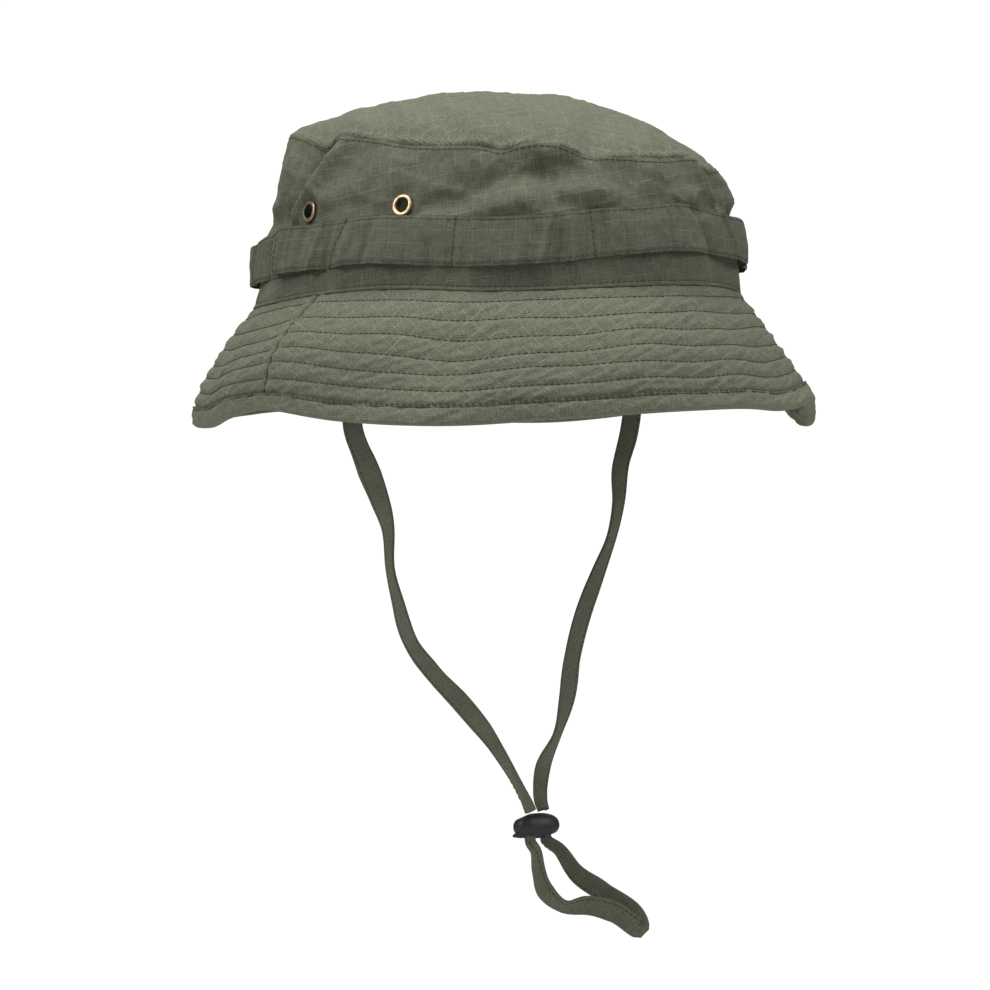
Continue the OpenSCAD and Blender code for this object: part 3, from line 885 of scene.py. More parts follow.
def tape(name, route, side):
    """A folded tape along a route. side says which edge has the seam."""
    centre, wide, face = tape_frame(route)
    travelled = np.concatenate([[0], np.cumsum(np.linalg.norm(np.diff(centre, axis=0), axis=1))])
    section = TAPE_FACE + [(x, -y) for x, y in TAPE_FACE[-2:0:-1]]
    rng = np.random.default_rng(len(route))
    sway = np.interp(travelled, np.linspace(0, travelled[-1], 24), rng.normal(0, 0.05, 24))
    half_w, half_t = tape_halves(route)
    half_w = half_w * (1 + sway)
    cup = 0.40 * sizes().strap_width / MM
    points, uv = [], []
    corners = np.array(section) * (sizes().strap_width / 2, sizes().strap_thick / 2)
    shares = np.cumsum(np.linalg.norm(corners - np.roll(corners, 1, 0), axis=1))
    for i in range(len(route)):
        bend = cup * (1 - route[i, 4])
        for (x, y), share in zip(section, shares, strict=True):
            lift = y * half_t[i] + bend * x * x - bend / 3
            points.append(centre[i] + side * wide[i] * x * half_w[i] + face[i] * lift)
            uv.append((share, travelled[i] * MM))
    m, n = len(section), len(route)
    faces, corner_uv = [], []
    order = 1 if side > 0 else -1
    for i in range(n - 1):
        for j in range(m):
            k = (j + 1) % m
            quad = [i * m + j, i * m + k, (i + 1) * m + k, (i + 1) * m + j][::order]
            faces.append(quad)
            wrap = shares[-1] if k == 0 else 0
            corner_uv += [(uv[v][0] + (wrap if v % m == 0 else 0), uv[v][1]) for v in quad]
    for start, flip in ((0, -order), ((n - 1) * m, order)):
        cap = [start + j for j in range(m)][::flip]
        faces.append(cap)
        corner_uv += [uv[v] for v in cap]
    return new_piece(name, points, faces, corner_uv)


def tape_stitches(name, route, side, seed):
    """The row of sewing that closes the tape along its seam edge, on both faces."""
    centre, wide, face = tape_frame(route)
    half_w, half_t = tape_halves(route)
    keep = slice(STEPS, -8)
    rows = []
    for way in (1, -1):
        path = centre + side * wide * (-0.685 * half_w)[:, None] + face * (way * half_t * 0.80)[:, None]
        rows.append(stitches(path[keep], face[keep] * way, length=2.3, seed=seed + way, lift=-0.02))
    return joined(name, rows)


# ---------------------------------------------------------------- operators

def deselect():
    """Leaves nothing selected, so that the next operator acts on its own piece only."""
    for each in bpy.context.selected_objects:
        each.select_set(False)


class HAT_OT_stage(bpy.types.Operator):
    """Camera, pale floor and soft studio light"""
    bl_idname = "hat.stage"
    bl_label = "Stage"

    def execute(self, context):
        scene = context.scene
        scene.view_settings.view_transform = "Standard"
        target = Vector((-0.0011, 0.0011, -0.0747))
        tilt = math.radians(0.5)
        away = Vector((-math.cos(tilt) * math.sqrt(0.5), -math.cos(tilt) * math.sqrt(0.5), math.sin(tilt)))
        distance, view_width = 1.4, 0.389
        lens = bpy.data.cameras.new("camera")
        lens.sensor_width = 36
        lens.lens = lens.sensor_width * distance / view_width
        camera = bpy.data.objects.new("camera", lens)
        camera.location = target + away * distance
        camera.rotation_euler = (-away).to_track_quat("-Z", "Y").to_euler()
        scene.collection.objects.link(camera)
        scene.camera = camera

        deselect()
        bpy.ops.mesh.primitive_circle_add(vertices=96, radius=1.0, fill_type="NGON", location=(0, 0, -0.42))
        floor = context.object
        floor.name = "floor"
        pale = Paint("pale floor", roughness=0.9)
        shade = pale.noise(pale.object_place(), 3, 2)
        pale.put(pale.shader, {"Base Color": pale.mix(shade, (0.76, 0.76, 0.76), (0.80, 0.80, 0.80))})
        floor.data.materials.append(pale.material)

        world = bpy.data.worlds.new("studio")
        world.use_nodes = True
        scene.world = world
        nodes, links = world.node_tree.nodes, world.node_tree.links
        glow = nodes["Background"]
        glow.inputs["Strength"].default_value = 0.17
        white = nodes.new("ShaderNodeBackground")
        white.inputs["Color"].default_value = (1, 1, 1, 1)
        white.inputs["Strength"].default_value = 1.05
        path = nodes.new("ShaderNodeLightPath")
        choose = nodes.new("ShaderNodeMixShader")
        links.new(path.outputs["Is Camera Ray"], choose.inputs[0])
        links.new(glow.outputs[0], choose.inputs[1])
        links.new(white.outputs[0], choose.inputs[2])
        links.new(choose.outputs[0], nodes["World Output"].inputs["Surface"])
        glow.inputs["Color"].default_value = (1, 1, 1, 1)

        # Name, place, what it faces, size and power of each soft box
        boxes = [("overhead", (-0.25, -0.15, 1.3), (0, 0, 0), 0.9, 14.5),
                 ("left fill", (-1.25, 0.45, 0.8), (0, 0, -0.02), 0.8, 9),
                 ("right fill", (0.5, -1.25, 0.75), (0, 0, -0.02), 0.8, 8),
                 ("low fill", (-0.95, -0.95, -0.30), (0, 0, -0.02), 0.8, 1.3),
                 ("back fill", (1.2, 1.3, 0.8), (0, 0, 0), 1.4, 5)]
        for name, place, aim, size, power in boxes:
            light = bpy.data.lights.new(name, "AREA")
            light.size = size
            light.energy = power
            lamp = bpy.data.objects.new(name, light)
            lamp.location = place
            lamp.visible_camera = False
            lamp.rotation_euler = (Vector(place) - Vector(aim)).to_track_quat("Z", "Y").to_euler()
            scene.collection.objects.link(lamp)
        return {"FINISHED"}


class HAT_OT_strap(bpy.types.Operator):
    """The chin strap: two runs of folded tape and the loop under the keeper"""
    bl_idname = "hat.strap"
    bl_label = "Chin strap"

    def execute(self, context):
        top = SLIDER_AT[2] + 0.010
        # name, route, seam's side, and the heights between which it passes from the strap to the keeper
        lines = [("strap_run_right", RUN_RIGHT, -1, -0.035, top),
                 ("strap_run_left", RUN_LEFT, 1, -0.035, top),
                 ("strap_tail", TAIL, 1, -0.2445, -0.2135)]
        for seed, (name, points, side, start, end) in enumerate(lines):
            route = smooth_route(points)
            piece = tape(name, route, side)
            finish_piece(piece, paint("tape"), None, ["chin_strap"])
            sewn = tape_stitches(name + "_stitches", route, side, 10 * seed + 5)
            finish_piece(sewn, paint("thread"), None)
            for part in (piece, sewn):
                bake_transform(part)
        return {"FINISHED"}


class HAT_OT_anchors(bpy.types.Operator):
    """The tabs that carry the strap under the sweatband"""
    bl_idname = "hat.anchors"
    bl_label = "Strap anchors"

    def execute(self, context):
        for node in ("strap_anchor_right", "strap_anchor_left"):
            low, high = (Vector(c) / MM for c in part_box(node))
            middle = (low + high) / 2
            half = (high - low) / 2
            y = np.linspace(-1, 1, 15)[:, None]
            z = np.linspace(-1, 1, 9)[None, :]
            puff = half.x * (1 - 0.45 * np.maximum(np.abs(y), np.abs(z)) ** 4)
            across = middle.y + y * half.y * (1 - 0.02 * z * z)
            outer, inner = (np.stack(np.broadcast_arrays(x, across, middle.z + z * half.z), -1)
                            for x in (middle.x + puff, middle.x - puff))
            piece = cloth_shell(node + "_tab", outer, inner, spread(y * half.y, z * half.z), False)
            finish_piece(piece, paint("tape"), "hat", [node])
            # A sewn box with one diagonal on each face
            a, b = half.y * 0.78, half.z * 0.72
            corners = [(-a, -b), (a, -b), (a, b), (-a, b), (-a, -b), (a, b)]
            rows = []
            for way in (1, -1):
                x = middle.x + way * half.x * 0.86
                for p, q in zip(corners[:-1], corners[1:], strict=True):
                    line = np.linspace((x, middle.y + p[0], middle.z + p[1]),
                                       (x, middle.y + q[0], middle.z + q[1]), 12)
                    rows.append(stitches(line, np.tile((way, 0, 0), (12, 1)), length=1.9, seed=3))
            finish_piece(joined(node + "_stitches", rows), paint("thread"))
        return {"FINISHED"}


def vent_fade(t, z, near=4.4, far=9.0):
    """1 away from the vents and 0 at them, where the cloth lies flat for the eyelets."""
    fade = np.ones(np.broadcast(t, z).shape)
    for bearing, height in VENTS.values():
        width = rad(math.hypot(HALF_W * math.sin(rad(bearing)), HALF_L * math.cos(rad(bearing))))
        d = np.hypot(apart(t, bearing) * width, z - height)
        s = np.clip((d - near) / (far - near), 0, 1)
        fade = fade * s * s * (3 - 2 * s)
    return fade


def disc_grid(n):
    """Bearing, and q from 0 at the rim to 1 in the middle, for a square grid that is wrapped onto a disc."""
    a = np.linspace(-1, 1, n)
    x, y = np.meshgrid(a, a, indexing="ij")
    s = np.maximum(np.abs(x), np.abs(y))
    # On the ring of a square, the place along its side gives the bearing
    wide = np.abs(x) >= np.abs(y)
    with np.errstate(divide="ignore", invalid="ignore"):
        slant = np.where(wide, y / np.where(x == 0, 1, x), x / np.where(y == 0, 1, y)) * 45
    t = np.where(wide, np.where(x >= 0, slant, 180 + slant), np.where(y >= 0, 90 - slant, 270 - slant))
    return np.where(s == 0, 0, t) % 360, 1 - s


class HAT_OT_crown(bpy.types.Operator):
    """The crown: its top panel, its side with the vent holes, and the turned seam inside"""
    bl_idname = "hat.crown"
    bl_label = "Crown"

    def execute(self, context):
        self.side()
        self.top()
        self.seam_allowance()
        return {"FINISHED"}

    def side(self):
        t = bearings(640)
        share = np.linspace(0, 1, 66)[None, :]
        foot = -0.45
        z = foot + (seam_z(t) - 0.9 - foot) * share
        outer = side_point(t, z)
        inner = side_point(t, z, -CLOTH)
        uv = spread(t * MM_PER_DEGREE, z)
        gone = self.vent_cells(outer, inner)
        piece = cloth_shell("crown_side_cloth", outer, inner, uv, True, ROUND, gone)
        finish_piece(piece, paint("crown"), "hat", ["crown_side"])

    def vent_cells(self, outer, inner):
        """Marks the cells at each vent that are cut away, and rounds the edge that they leave."""
        n, m = outer.shape[:2]
        gone = np.zeros((n, m - 1), bool)
        for bearing, height in VENTS.values():
            centre = side_point(np.array(bearing), np.array(height))
            normal = surface_normal(side_point, np.array(bearing), np.array(height), 0.5, 0.5)
            off = outer - centre
            flat = off - (off @ normal)[..., None] * normal
            far = np.where(np.abs(off @ normal) < 3, np.linalg.norm(flat, axis=-1), 99)
            across = (far + np.roll(far, -1, 0)) / 2
            here = (across[:, 1:] + across[:, :-1]) / 2 < VENT_CUT
            gone |= here
            touched = np.zeros((n, m), int)
            for i, j in np.argwhere(here):
                for a, b in ((i, j), ((i + 1) % n, j), (i, j + 1), ((i + 1) % n, j + 1)):
                    touched[a, b] += 1
            for i, j in np.argwhere((touched > 0) & (touched < 4)):
                push = flat[i, j] * (VENT_CUT / far[i, j] - 1)
                outer[i, j] += push
                inner[i, j] += push
        return gone

    def top(self):
        t, q = disc_grid(199)
        s = np.cos(np.pi / 2 * q)
        outer = self.with_welt(top_point(t, q), t, q, 0)
        inner = self.with_welt(top_point(t, q, CLOTH), t, q, CLOTH)
        flat = np.stack([HALF_W * s * np.cos(rad(t)), HALF_L * s * np.sin(rad(t))], -1) * MM * 1.04
        piece = cloth_shell("crown_top_cloth", outer, inner, flat, False)
        finish_piece(piece, paint("top"), "hat", ["crown_top"])

    def with_welt(self, points, t, q, deep):
        """Lowers the panel's edge over the side and rolls it into the bead of the top seam."""
        rise = (sizes().dome / MM) * np.sin(np.pi / 2 * q) ** 1.36
        wave = 1 + 0.2 * TOP_WELT(t, 0)
        bead = 0.95 * np.sqrt(np.clip(1 - ((rise - 0.9) / 0.98) ** 2, 0, 1)) * wave
        groove = -0.3 * np.exp(-((rise - 2.9) / 0.8) ** 2)
        out = unit(oval(t, 0, 0))
        lower = 1.35 * (1 - np.clip(rise / 3.4, 0, 1)) ** 1.5
        moved = points + out * ((bead * (1 if deep == 0 else 0.55)) + groove)[..., None]
        moved[..., 2] -= lower
        return moved

    def seam_allowance(self):
        t = bearings(420)
        share = np.linspace(0, 1, 9)[None, :]
        z = seam_z(t) - 8.2 + 6.4 * share + 0.5 * TOP_WELT(t, 9)
        stand = 1.5 + 0.35 * CREASE(t, z) + 0.5 * (1 - share) * (1 + 0.5 * SLACK(t, 30))
        outer = side_point(t, z, -stand)
        inner = side_point(t, z, -stand - 0.9 * np.sin(np.pi * np.clip(share * 0.92 + 0.04, 0, 1)) ** 0.3)
        uv = spread(t * MM_PER_DEGREE, z)
        piece = cloth_shell("crown_top_seam_allowance", outer, inner, uv, True, ROUND)
        finish_piece(piece, paint("sweat"), "hat", ["crown_top_seam"])


class HAT_OT_sweatband(bpy.types.Operator):
    """The sweatband inside the brim seam, with a folded upper edge"""
    bl_idname = "hat.sweatband"
    bl_label = "Sweatband"

    def execute(self, context):
        low, high = -2.4, SWEAT_TOP
        t = bearings(480)
        share = np.linspace(0, 1, 22)[None, :]
        z = low + (high - low) * share
        stand = 1.25 + 0.5 * np.sin(np.pi * share) * (1 + 0.8 * SLACK(t + 40, z)) + 0.10 * CREASE(t, z * 1.4)
        fold = 0.45 * np.exp(-((z - high + SWEAT_ROW) / 1.9) ** 4) + 0.15 * np.exp(-((z - low) / 3.0) ** 4)
        outer = side_point(t, z, -stand)
        thick = CLOTH * np.clip(6 * np.minimum(share, 1 - share) + 0.35, 0, 1)
        inner = side_point(t, z, -stand - thick - fold)
        uv = spread(t * MM_PER_DEGREE, z)
        piece = cloth_shell("sweatband_cloth", outer, inner, uv, True, ROUND)
        finish_piece(piece, paint("sweat"), "hat", ["sweatband"])
        return {"FINISHED"}


def brim_uv(t, u, middle):
    """Place of a point of the brim in the flat cut of its half, whose grain runs straight."""
    fan = (t - middle) * MM_PER_DEGREE / BRIM_FLAT
    radius = BRIM_FLAT + BRIM_WIDTH * u
    return spread(radius * np.sin(fan), radius * np.cos(fan))


SEAM_GAP = 0.24       # from a side seam to the cloth's edge, degrees
SEAM_PITCH = 1.78     # of cloth for each degree at the side seams, mm


def side_seam(t):
    """Depth of the groove where the brim's halves are sewn together at each side."""
    d = np.minimum(np.abs(apart(t, SPLIT)), np.abs(apart(t, SPLIT + 180))) * SEAM_PITCH
    return 0.8 * np.exp(-(d / 0.9) ** 2) - 0.3 * np.exp(-((d - 2.4) / 1.3) ** 2)


class HAT_OT_brim(bpy.types.Operator):
    """The brim: two layers of cloth in front and back halves, the stiffener and the hem's tape"""
    bl_idname = "hat.brim"
    bl_label = "Brim"

    def execute(self, context):
        thick = sizes().brim_thick / MM
        for half, start in (("front", SPLIT), ("back", SPLIT - 180)):
            middle = start + 90
            for layer, n, m in (("upper", 340, 98), ("lower", 260, 76)):
                t = start + np.linspace(SEAM_GAP, 180 - SEAM_GAP, n)[:, None]
                u = np.linspace(0.986, 0, m)[None, :]
                groove = side_seam(t) * np.clip((0.80 - u) * 12, 0.15, 1)
                fade = np.clip((1 - u) * 12 - 0.6, 0, 1)
                if layer == "upper":
                    outer = brim_point(t, u, 0, brim_puff(t, u) * fade - groove)
                    inner = brim_point(t, u, CLOTH, -0.8 * np.clip(groove, 0, 1))
                else:
                    outer = brim_point(t, u, thick - CLOTH)
                    inner = brim_point(t, u, thick, -brim_puff(t + 3, u, True) * fade + groove)
                piece = cloth_shell(f"brim_{layer}_{half}_cloth", outer, inner, brim_uv(t, u, middle), False)
                finish_piece(piece, paint("brim" if layer == "upper" else "under"), "hat",
                             [f"brim_{layer}_{half}"])
        self.stiffener()
        self.binding()
        return {"FINISHED"}

    def stiffener(self):
        near = np.add.outer((SPLIT, SPLIT + 180), np.linspace(-1.4, 1.4, 15)).reshape(-1, 1)
        t = np.sort(np.concatenate([bearings(240), near]), axis=0)
        u = (0.975 - 0.955 * np.linspace(0, 1, 24))[None, :]
        dip = 1.1 * np.clip(side_seam(t), 0, 1)
        outer, inner = brim_point(t, u, 0.98 * CLOTH + 0.12 + dip), brim_point(t, u, 1.9 + 0.2 * dip)
        uv = spread(t * MM_PER_DEGREE, -BRIM_WIDTH * u)
        piece = cloth_shell("brim_interlining_sheet", outer, inner, uv, True, ROUND)
        finish_piece(piece, paint("stiffener"), "hat", ["brim_interlining"])

    def binding(self):
        thick = sizes().brim_thick / MM
        t = bearings(640)
        start = hem_start(t)
        tape_t = 0.75
        # Shares of the hem's width: a rounded fold, the face with its two sewn lines, then round the edge
        face = np.array([[0.0, 0.012, 0.04, 0.09, 0.13, 0.17, 0.22, 0.27, 0.32, 0.42, 0.54, 0.66, 0.78,
                          0.89, 0.97]])
        rise = np.array([[0.10, 0.55, 0.85, 0.92, 0.80, 0.52, 0.84, 0.92, 0.98, 1.06, 1.12, 1.12, 1.06,
                          1.0, 0.95]])
        u_face = start + (1 - start) * face
        wrinkle = 0.16 * PUCKER(t, u_face * BRIM_WIDTH + 30) + 0.10 * PUCKER_FINE(t, u_face * BRIM_WIDTH + 9)
        lift = (tape_t + 0.05) * rise + wrinkle * np.clip(face * 6, 0, 1)
        upper = brim_point(t, u_face, 0, lift)
        turn = np.linspace(0.12, 0.88, 7)[None, :] * np.pi
        middle = thick / 2
        edge = brim_point(t, 0.985 + 0.034 * np.sin(turn), middle - (middle + tape_t) * np.cos(turn))
        lower = brim_point(t, u_face, thick, -lift)
        outer = np.concatenate([lower[:, ::-1], edge[:, ::-1], upper[:, ::-1]], 1)
        face_in = brim_point(t, u_face, 0, 0.06)
        edge_in = brim_point(t, 0.982 + 0.012 * np.sin(turn), middle - middle * 0.99 * np.cos(turn))
        lower_in = brim_point(t, u_face, thick, -0.06)
        inner = np.concatenate([lower_in[:, ::-1], edge_in[:, ::-1], face_in[:, ::-1]], 1)
        length = np.cumsum(np.linalg.norm(np.diff(outer, axis=1), axis=2), 1)
        length = np.concatenate([np.zeros_like(t), length], 1)
        wider = 1.3           # the hem's length over the brim seam's
        uv = spread(t * MM_PER_DEGREE * wider, length)
        piece = cloth_shell("brim_binding_tape", outer, inner, uv, True, ROUND * wider)
        finish_piece(piece, paint("hem"), "hat", ["brim_binding"])
        around = path_length(brim_point(np.linspace(0, 360, 361), np.ones(361)))


# The foliage band is one strip. It starts on top at its sewn end and runs round to pass under that end.
BAND_START, BAND_STOP = 156.0, 528.0
# Height of its upper and lower edge, mm, by bearing along the strip
BAND_TOP = [(156, 28.6), (168, 28.6), (177, 29), (182, 29.6), (186, 30.2), (199, 29.9), (210, 29),
            (220, 28.6), (230, 29.4), (234, 30.3), (242, 31.4), (256, 33.2), (266, 34.6), (272, 34.2),
            (280, 32), (288, 31), (305, 31.2), (338, 30.4), (370, 30), (420, 28), (470, 25), (489, 24),
            (499, 24.2), (505, 26.6), (511, 27.3), (518, 27.7), (530, 28.4)]
BAND_LOW = [(156, 10), (168, 10.8), (177, 11.2), (186, 12.2), (199, 11.2), (210, 10.2), (220, 10.2),
            (232, 11.4), (242, 13.2), (256, 15.4), (266, 16.5), (274, 16.2), (284, 15), (294, 13.8),
            (305, 13.2), (338, 12.2), (370, 11.5), (420, 9.5), (470, 7), (489, 7.6), (497, 7.8), (508, 9),
            (530, 10)]
# Tack, and how far the loop after it stands off at its lower and its upper edge
LOOPS = [(156.0, 3.0, 1.2), (179, 2.8, 1.2), (209, 2.0, 1.0), (241.2, 2.8, 2.0), (274, 4.6, 5.0),
         (306, 3.0, 2.6), (345, 3.0, 2.4), (376, 3.4, 2.6), (410, 3.0, 2.4), (443, 3.6, 2.6), (476, 4.2, 4.2),
         (508, 1.0, 1.0), (528, 0, 0)]
# How far a tack's upper end lies ahead of its lower end, degrees
TACK_LEAN = {179: 4.0, 209: 0.6, 241.2: -0.9, 274: -5.5, 306: 8}
# Pleats of the band: bearing at the lower and at the upper edge, width mm, height mm
PLEATS = [(159, 161, 1.1, 0.6), (162.5, 164, 1.0, -0.6), (167, 168, 2.0, -0.9), (171.5, 175, 1.7, 0.9),
          (175.5, 178, 1.2, -0.7), (181, 184, 2.2, 0.8), (187, 189, 1.6, -0.9), (193, 193, 2.0, 0.5),
          (198, 198, 1.2, -0.4), (204, 203, 2.2, -0.9), (207, 206.5, 1.0, 0.5), (211.5, 212, 1.6, -0.7),
          (217, 216, 2.4, 0.5), (223.5, 226, 2.6, 0.7), (228.5, 231.5, 1.3, 1.1), (232.5, 233.5, 1.6, -1.3),
          (236.5, 237, 1.3, 0.8), (239, 239.5, 0.9, -0.6), (244, 243.5, 1.6, -0.8), (249, 249, 1.6, -0.7),
          (256, 257, 3.2, 0.7), (262, 262.5, 1.1, -0.6), (266.5, 266, 1.6, 0.7), (287, 282, 1.4, 0.8),
          (320, 322, 2.2, 0.7), (340, 338, 1.8, -0.8), (352, 354, 2.0, 0.8), (369, 368, 1.6, -0.8),
          (384, 387, 2.4, 0.7), (403, 402, 1.8, -0.8), (418, 420, 1.8, 0.8), (436, 435, 1.6, -0.8),
          (452, 455, 2.2, 0.8), (470, 469, 1.8, -0.9), (497, 499, 1.0, -1.3)]


def smooth_line(x, knots):
    """A smooth open curve through (x, value) knots, level at its ends."""
    at = np.array([k[0] for k in knots], float)
    value = np.array([k[1] for k in knots], float)
    slope = np.gradient(value, at)
    x = np.clip(x, at[0], at[-1])
    i = np.clip(np.searchsorted(at, x, side="right") - 1, 0, len(at) - 2)
    h = at[i + 1] - at[i]
    s = (x - at[i]) / h
    return (value[i] * (1 + 2 * s) * (1 - s) ** 2 + slope[i] * h * s * (1 - s) ** 2
            + value[i + 1] * s * s * (3 - 2 * s) + slope[i + 1] * h * s * s * (s - 1))


def tack_bearing(tack, v):
    """A tack's bearing at a share v of the band's height: some rows of sewing lean."""
    return tack + TACK_LEAN.get(tack, 0) * (v - 0.5)


def band_bow(t, v):
    """How far the band stands off the crown at a bearing along the strip and a share of its height."""
    total = np.zeros(np.broadcast(t, v).shape)
    for (a, low_bulge, top_bulge), (b, _, _) in zip(LOOPS[:-1], LOOPS[1:], strict=True):
        start, stop = tack_bearing(a, v), tack_bearing(b, v)
        s = np.clip((t - start) / (stop - start), 0, 1)
        bulge = low_bulge + (top_bulge - low_bulge) * v
        total = total + bulge * np.clip(np.sin(np.pi * s), 0, 1) ** 0.62
    for low, top, width, height in PLEATS:
        away = (t - low - (top - low) * v) * MM_PER_DEGREE
        total = total + 1.6 * height * np.exp(-(away / width) ** 2)
    end = np.clip(1 - (t - BAND_START) / 13, 0, 1)
    return 0.45 + np.clip(total, 0, None) + 2.7 * end ** 0.6


BAND_SLACK = RingNoise(91, 26, slant=0.5)
BAND_FINE = RingNoise(95, 7, waves=18, slant=0.3)


def band_point(t, v, proud=0.0):
    """A point of the band at a bearing along the strip and a share of its height."""
    t, v = np.broadcast_arrays(np.asarray(t, float), np.asarray(v, float))
    top = smooth_line(t, BAND_TOP) + 0.05 * BAND_FINE(t, 3)
    low = smooth_line(t, BAND_LOW) + 0.08 * BAND_FINE(t, 40)
    z = low + (top - low) * v
    rest = side_bulge(t % 360, z) - lean(t % 360, z)
    wave = 0.18 * BAND_SLACK(t, z) + 0.07 * BAND_FINE(t, z)
    return oval(t, rest + band_bow(t, v) + wave + 0.2 + proud, z)


class HAT_OT_band(bpy.types.Operator):
    """The foliage band: one folded strip tacked to the crown between its loops"""
    bl_idname = "hat.band"
    bl_label = "Foliage band"

    def execute(self, context):
        n, m = 900, 24
        t = np.linspace(BAND_START, BAND_STOP, n)[:, None]
        v = (1 - np.cos(np.pi * np.linspace(0, 1, m))) / 2
        v = (0.35 * v + 0.65 * np.linspace(0, 1, m))[None, :]
        height = sizes().band_height / MM
        from_edge = np.minimum(v, 1 - v) * height
        folded = 0.62 * np.sqrt(np.clip(1 - (1 - np.clip(from_edge / 0.7, 0, 1)) ** 2, 0, 1))
        line = -0.22 * np.exp(-((from_edge - BAND_ROW) / 0.5) ** 2)
        end = np.clip((t - BAND_START) / 0.35, 0.25, 1) ** 0.5
        outer = band_point(t, v, (folded + line) * end)
        inner = band_point(t, v, -folded * end)
        uv = spread(t * MM_PER_DEGREE, v * height)
        piece = cloth_shell("foliage_band_cloth", outer, inner, uv, False)
        finish_piece(piece, paint("band"), "hat", ["foliage_band"])
        length = path_length(band_point(t[:, 0], 0.5)) * MM
        return {"FINISHED"}


class HAT_OT_vents(bpy.types.Operator):
    """Antique brass for the rolled eyelets and their washers"""
    bl_idname = "hat.vents"
    bl_label = "Vents"

    def execute(self, context):
        for name, (bearing, height) in VENTS.items():
            centre = sum(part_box("vent_eyelet_" + name), Vector()) / 2
            axis = surface_normal(side_point, np.array(bearing), np.array(height), 3, 3)
            brass = brass_paint("brass_" + name, colours().brass, tuple(centre), tuple(axis))
            for kind in ("vent_eyelet_", "eyelet_washer_"):
                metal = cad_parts[kind + name]
                metal.data.materials.clear()
                metal.data.materials.append(brass)
        return {"FINISHED"}


class HAT_OT_stitching(bpy.types.Operator):
    """Sewing thread in every seam of the hat"""
    bl_idname = "hat.stitching"
    bl_label = "Stitching"

    def row(self, line, up, t, seed, closed=False):
        """Stitches along a line over bearings t. up gives a direction up the cloth at each."""
        normal = unit(np.cross(line(t + 0.4) - line(t - 0.4), up(t)))
        return stitches(line(t), normal, seed=seed, closed=closed)

    def execute(self, context):
        self.brim_rows()
        self.crown_rows()
        self.band_rows()
        return {"FINISHED"}

    def brim_rows(self):
        thick = sizes().brim_thick / MM
        faces = (("upper", 1), ("lower", -1))

        def on_brim(at, i, way):
            u = row_share(i, at)
            if way > 0:
                return brim_point(at, u, 0, brim_puff(at, u) + 0.06)
            return brim_point(at, u, thick, -brim_puff(at + 3, u, True) - 0.06)

        def up(at, u, way):
            return (brim_point(at, u - 0.01) - brim_point(at, u + 0.01)) * way

        for half, start in (("front", SPLIT), ("back", SPLIT - 180)):
            t = start + np.linspace(0.6, 179.4, 460)
            for layer, way in faces:
                rows = [self.row(lambda at: on_brim(at, i, way), lambda at: up(at, row_share(i, at), way),
                                 t, 100 + i) for i in range(len(ROWS))]
                finish_piece(joined(f"brim_stitches_{layer}_{half}", rows), paint("thread"))

        rows = []
        for at in (SPLIT, SPLIT + 180):
            u = np.linspace(0.015, 0.775, 60)
            normal = brim_point(at, u, 0) - brim_point(at, u, 1)
            rows.append(stitches(brim_point(at, u, 1.3), normal, length=2.4, thickness=0.9, seed=int(at)))
        finish_piece(joined("brim_side_seams", rows), paint("thread"))

        def on_hem(at, share, lift, way):
            start = hem_start(at)
            return brim_point(at, start + (1 - start) * share, 0 if way > 0 else thick, way * lift)

        t = bearings(1200)[:, 0]
        # Share of the hem's width, lift off the brim and seed of each row
        hem_rows = ((0.17, 0.516, 130), (0.045, 0.804, 131))
        for layer, way in faces:
            rows = [self.row(lambda at: on_hem(at, share, lift, way), lambda at: up(at, 0.87, way),
                             t, seed, True) for share, lift, seed in hem_rows]
            finish_piece(joined(f"hem_stitches_{layer}", rows), paint("thread"))

    def crown_rows(self):
        t = bearings(1300)[:, 0]

        def up(at):
            return np.tile((0, 0, 1.0), (len(at), 1))

        def at_brim(at):
            return side_point(at, BRIM_ROW + 0.1 * ROW_WAVE[0](at, 0), 0.02)

        def at_top(at):
            return side_point(at, seam_z(at) - 2.3 + 0.2 * ROW_WAVE[1](at, 0), 0.02)

        rows = [self.row(at_brim, up, t, 201, True), self.row(at_top, up, t, 202, True)]
        finish_piece(joined("crown_stitches", rows), paint("thread"))
        rows = []
        # Height, how far inside the crown's face, seed
        for z, stand, seed in ((SWEAT_TOP - SWEAT_ROW, 3.02, 211), (2.2, 2.35, 212),
                               (seam_z(t) - 5.2, 2.95, 213)):
            path = side_point(t, z, -stand)
            rows.append(stitches(path, -path * (1, 1, 0), seed=seed, closed=True))
        finish_piece(joined("inside_stitches", rows), paint("thread"))

    def band_rows(self):
        height = sizes().band_height / MM
        t = np.linspace(BAND_START + 0.8, BAND_STOP - 1, 1500)
        rows = []
        for v, seed in ((BAND_ROW / height, 301), (1 - BAND_ROW / height, 302)):
            path = band_point(t, v, 0.42)
            rows.append(stitches(path, path * (1, 1, 0), length=2.6, seed=seed))
        for tack, _, _ in LOOPS[1:-1]:
            v = np.linspace(-0.02, 1.03, 40)
            path = band_point(tack_bearing(tack, v), v, 0.62)
            rows.append(stitches(path, path * (1, 1, 0), length=2.2, thickness=0.5, seed=int(tack)))
        v = np.linspace(0.05, 0.97, 30)
        path = band_point(BAND_START + 1.1, v, 0.66)
        rows.append(stitches(path, path * (1, 1, 0), length=2.2, seed=331))
        finish_piece(joined("band_stitches", rows), paint("thread"))


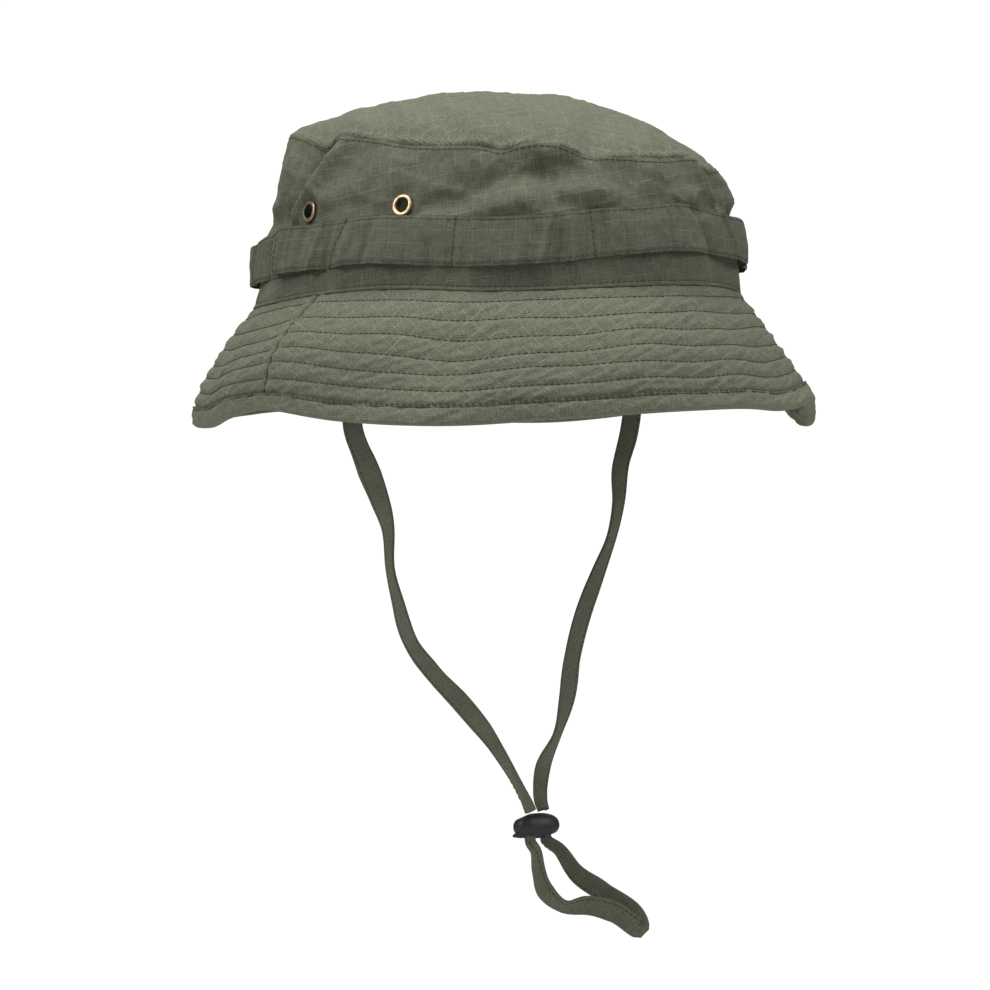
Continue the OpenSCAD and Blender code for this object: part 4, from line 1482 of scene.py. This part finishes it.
class HAT_OT_keeper(bpy.types.Operator):
    """The oval keeper that both runs of the strap pass through"""
    bl_idname = "hat.keeper"
    bl_label = "Keeper"

    def add(self, operator, scale=(1, 1, 1), lower=0.0, **sizes_of):
        """Adds a primitive, scales it, lowers it and applies its transform."""
        deselect()
        operator(**sizes_of)
        tool = bpy.context.object
        tool.scale = scale
        tool.location.z -= lower
        bpy.ops.object.transform_apply(location=True, rotation=True, scale=True)
        return tool

    def combine(self, body, tool, operation):
        """Joins a tool to the body or cuts it out, and deletes the tool."""
        change = body.modifiers.new("cut", "BOOLEAN")
        change.operation = operation
        change.solver = "EXACT"
        change.object = tool
        self.apply(body, change)
        bpy.data.objects.remove(tool)

    def apply(self, body, modifier):
        bpy.context.view_layer.objects.active = body
        bpy.ops.object.modifier_apply(modifier=modifier.name)

    def execute(self, context):
        middle = Vector(SLIDER_AT) + Vector((0.0004, 0, 0))
        long, deep, tall = 0.0098, 0.0056, 0.0050
        sphere = bpy.ops.mesh.primitive_uv_sphere_add
        body = self.add(sphere, (long, deep, tall), segments=64, ring_count=40, radius=1)
        body.name = "strap_keeper"
        # A fuller oval than a plain egg: the ends are rounded off and the sides stand up
        for v in body.data.vertices:
            x, y, z = v.co.x / long, v.co.y / deep, v.co.z / tall
            full = (abs(x) ** 2.6 + abs(y) ** 2.6 + abs(z) ** 2.2) ** (-1 / 2.5)
            v.co = Vector((x * long, y * deep, z * tall)) * min(full, 1.18)
        beak = self.add(bpy.ops.mesh.primitive_cone_add, (1.0, 0.8, 1.0), vertices=32, radius1=0.0032,
                        radius2=0.0005, depth=0.0085, location=(-0.0078, -0.0005, -0.0030),
                        rotation=(0, math.radians(-99), 0))
        self.combine(body, beak, "UNION")
        hollow = self.add(sphere, (0.0080, 0.0042, 0.0034), segments=48, ring_count=24, radius=1,
                          location=(0.0004, -0.0004, -0.0066))
        self.combine(body, hollow, "DIFFERENCE")
        # The two runs' holes and the small slanting one between them
        for place, radius, slant, stretch, lower in (((-0.0056, 0, 0), 0.0024, 0, 1, 0),
                                                     ((0.0056, 0, 0), 0.0024, 0, 1, 0),
                                                     ((-0.0002, -0.0022, -0.002), 0.0011, 20, 0.35, 0.0035)):
            hole = self.add(bpy.ops.mesh.primitive_cylinder_add, (1, 1, stretch), lower, vertices=32,
                            radius=radius, depth=0.03, location=place, rotation=(math.radians(slant), 0, 0))
            self.combine(body, hole, "DIFFERENCE")
        remesh = body.modifiers.new("even", "REMESH")
        remesh.mode = "VOXEL"
        remesh.voxel_size = 0.00022
        self.apply(body, remesh)
        soften = body.modifiers.new("soften", "SMOOTH")
        soften.factor = 0.5
        soften.iterations = 7
        self.apply(body, soften)
        tilt = Matrix.Rotation(math.radians(-17), 4, "X")
        turn = Matrix.Rotation(math.atan2(2, 11) - math.radians(24), 4, "Z")
        place = Matrix.Translation(middle) @ turn @ tilt
        body.data.transform(place)
        body.data.polygons.foreach_set("use_smooth", [True] * len(body.data.polygons))
        finish_piece(body, paint("keeper"), "slider", ["strap_slider"])
        return {"FINISHED"}


STEPS_IN_ORDER = [HAT_OT_stage, HAT_OT_strap, HAT_OT_anchors, HAT_OT_keeper, HAT_OT_crown, HAT_OT_sweatband,
                  HAT_OT_brim, HAT_OT_band, HAT_OT_vents, HAT_OT_stitching]


class HAT_PT_panel(bpy.types.Panel):
    """Sizes, colours and the steps of the hat"""
    bl_label = "Boonie Hat"
    bl_idname = "HAT_PT_panel"
    bl_space_type = "VIEW_3D"
    bl_region_type = "UI"
    bl_category = "Hat"

    def draw(self, context):
        for group in (context.scene.hat_sizes, context.scene.hat_colours):
            column = self.layout.column()
            for key in group.bl_rna.properties.keys():
                if key not in ("rna_type", "name"):
                    column.prop(group, key)
        for step in STEPS_IN_ORDER:
            self.layout.operator(step.bl_idname)


CLASSES = [HatSizes, HatColours, *STEPS_IN_ORDER, HAT_PT_panel]


def register():
    for each in CLASSES:
        bpy.utils.register_class(each)
    bpy.types.Scene.hat_sizes = bpy.props.PointerProperty(type=HatSizes)
    bpy.types.Scene.hat_colours = bpy.props.PointerProperty(type=HatColours)


def unregister():
    del bpy.types.Scene.hat_sizes
    del bpy.types.Scene.hat_colours
    for each in reversed(CLASSES):
        bpy.utils.unregister_class(each)


def main():
    register()
    for step in STEPS_IN_ORDER:
        group, name = step.bl_idname.split(".")
        getattr(getattr(bpy.ops, group), name)()


if __name__ == "__main__":
    main()
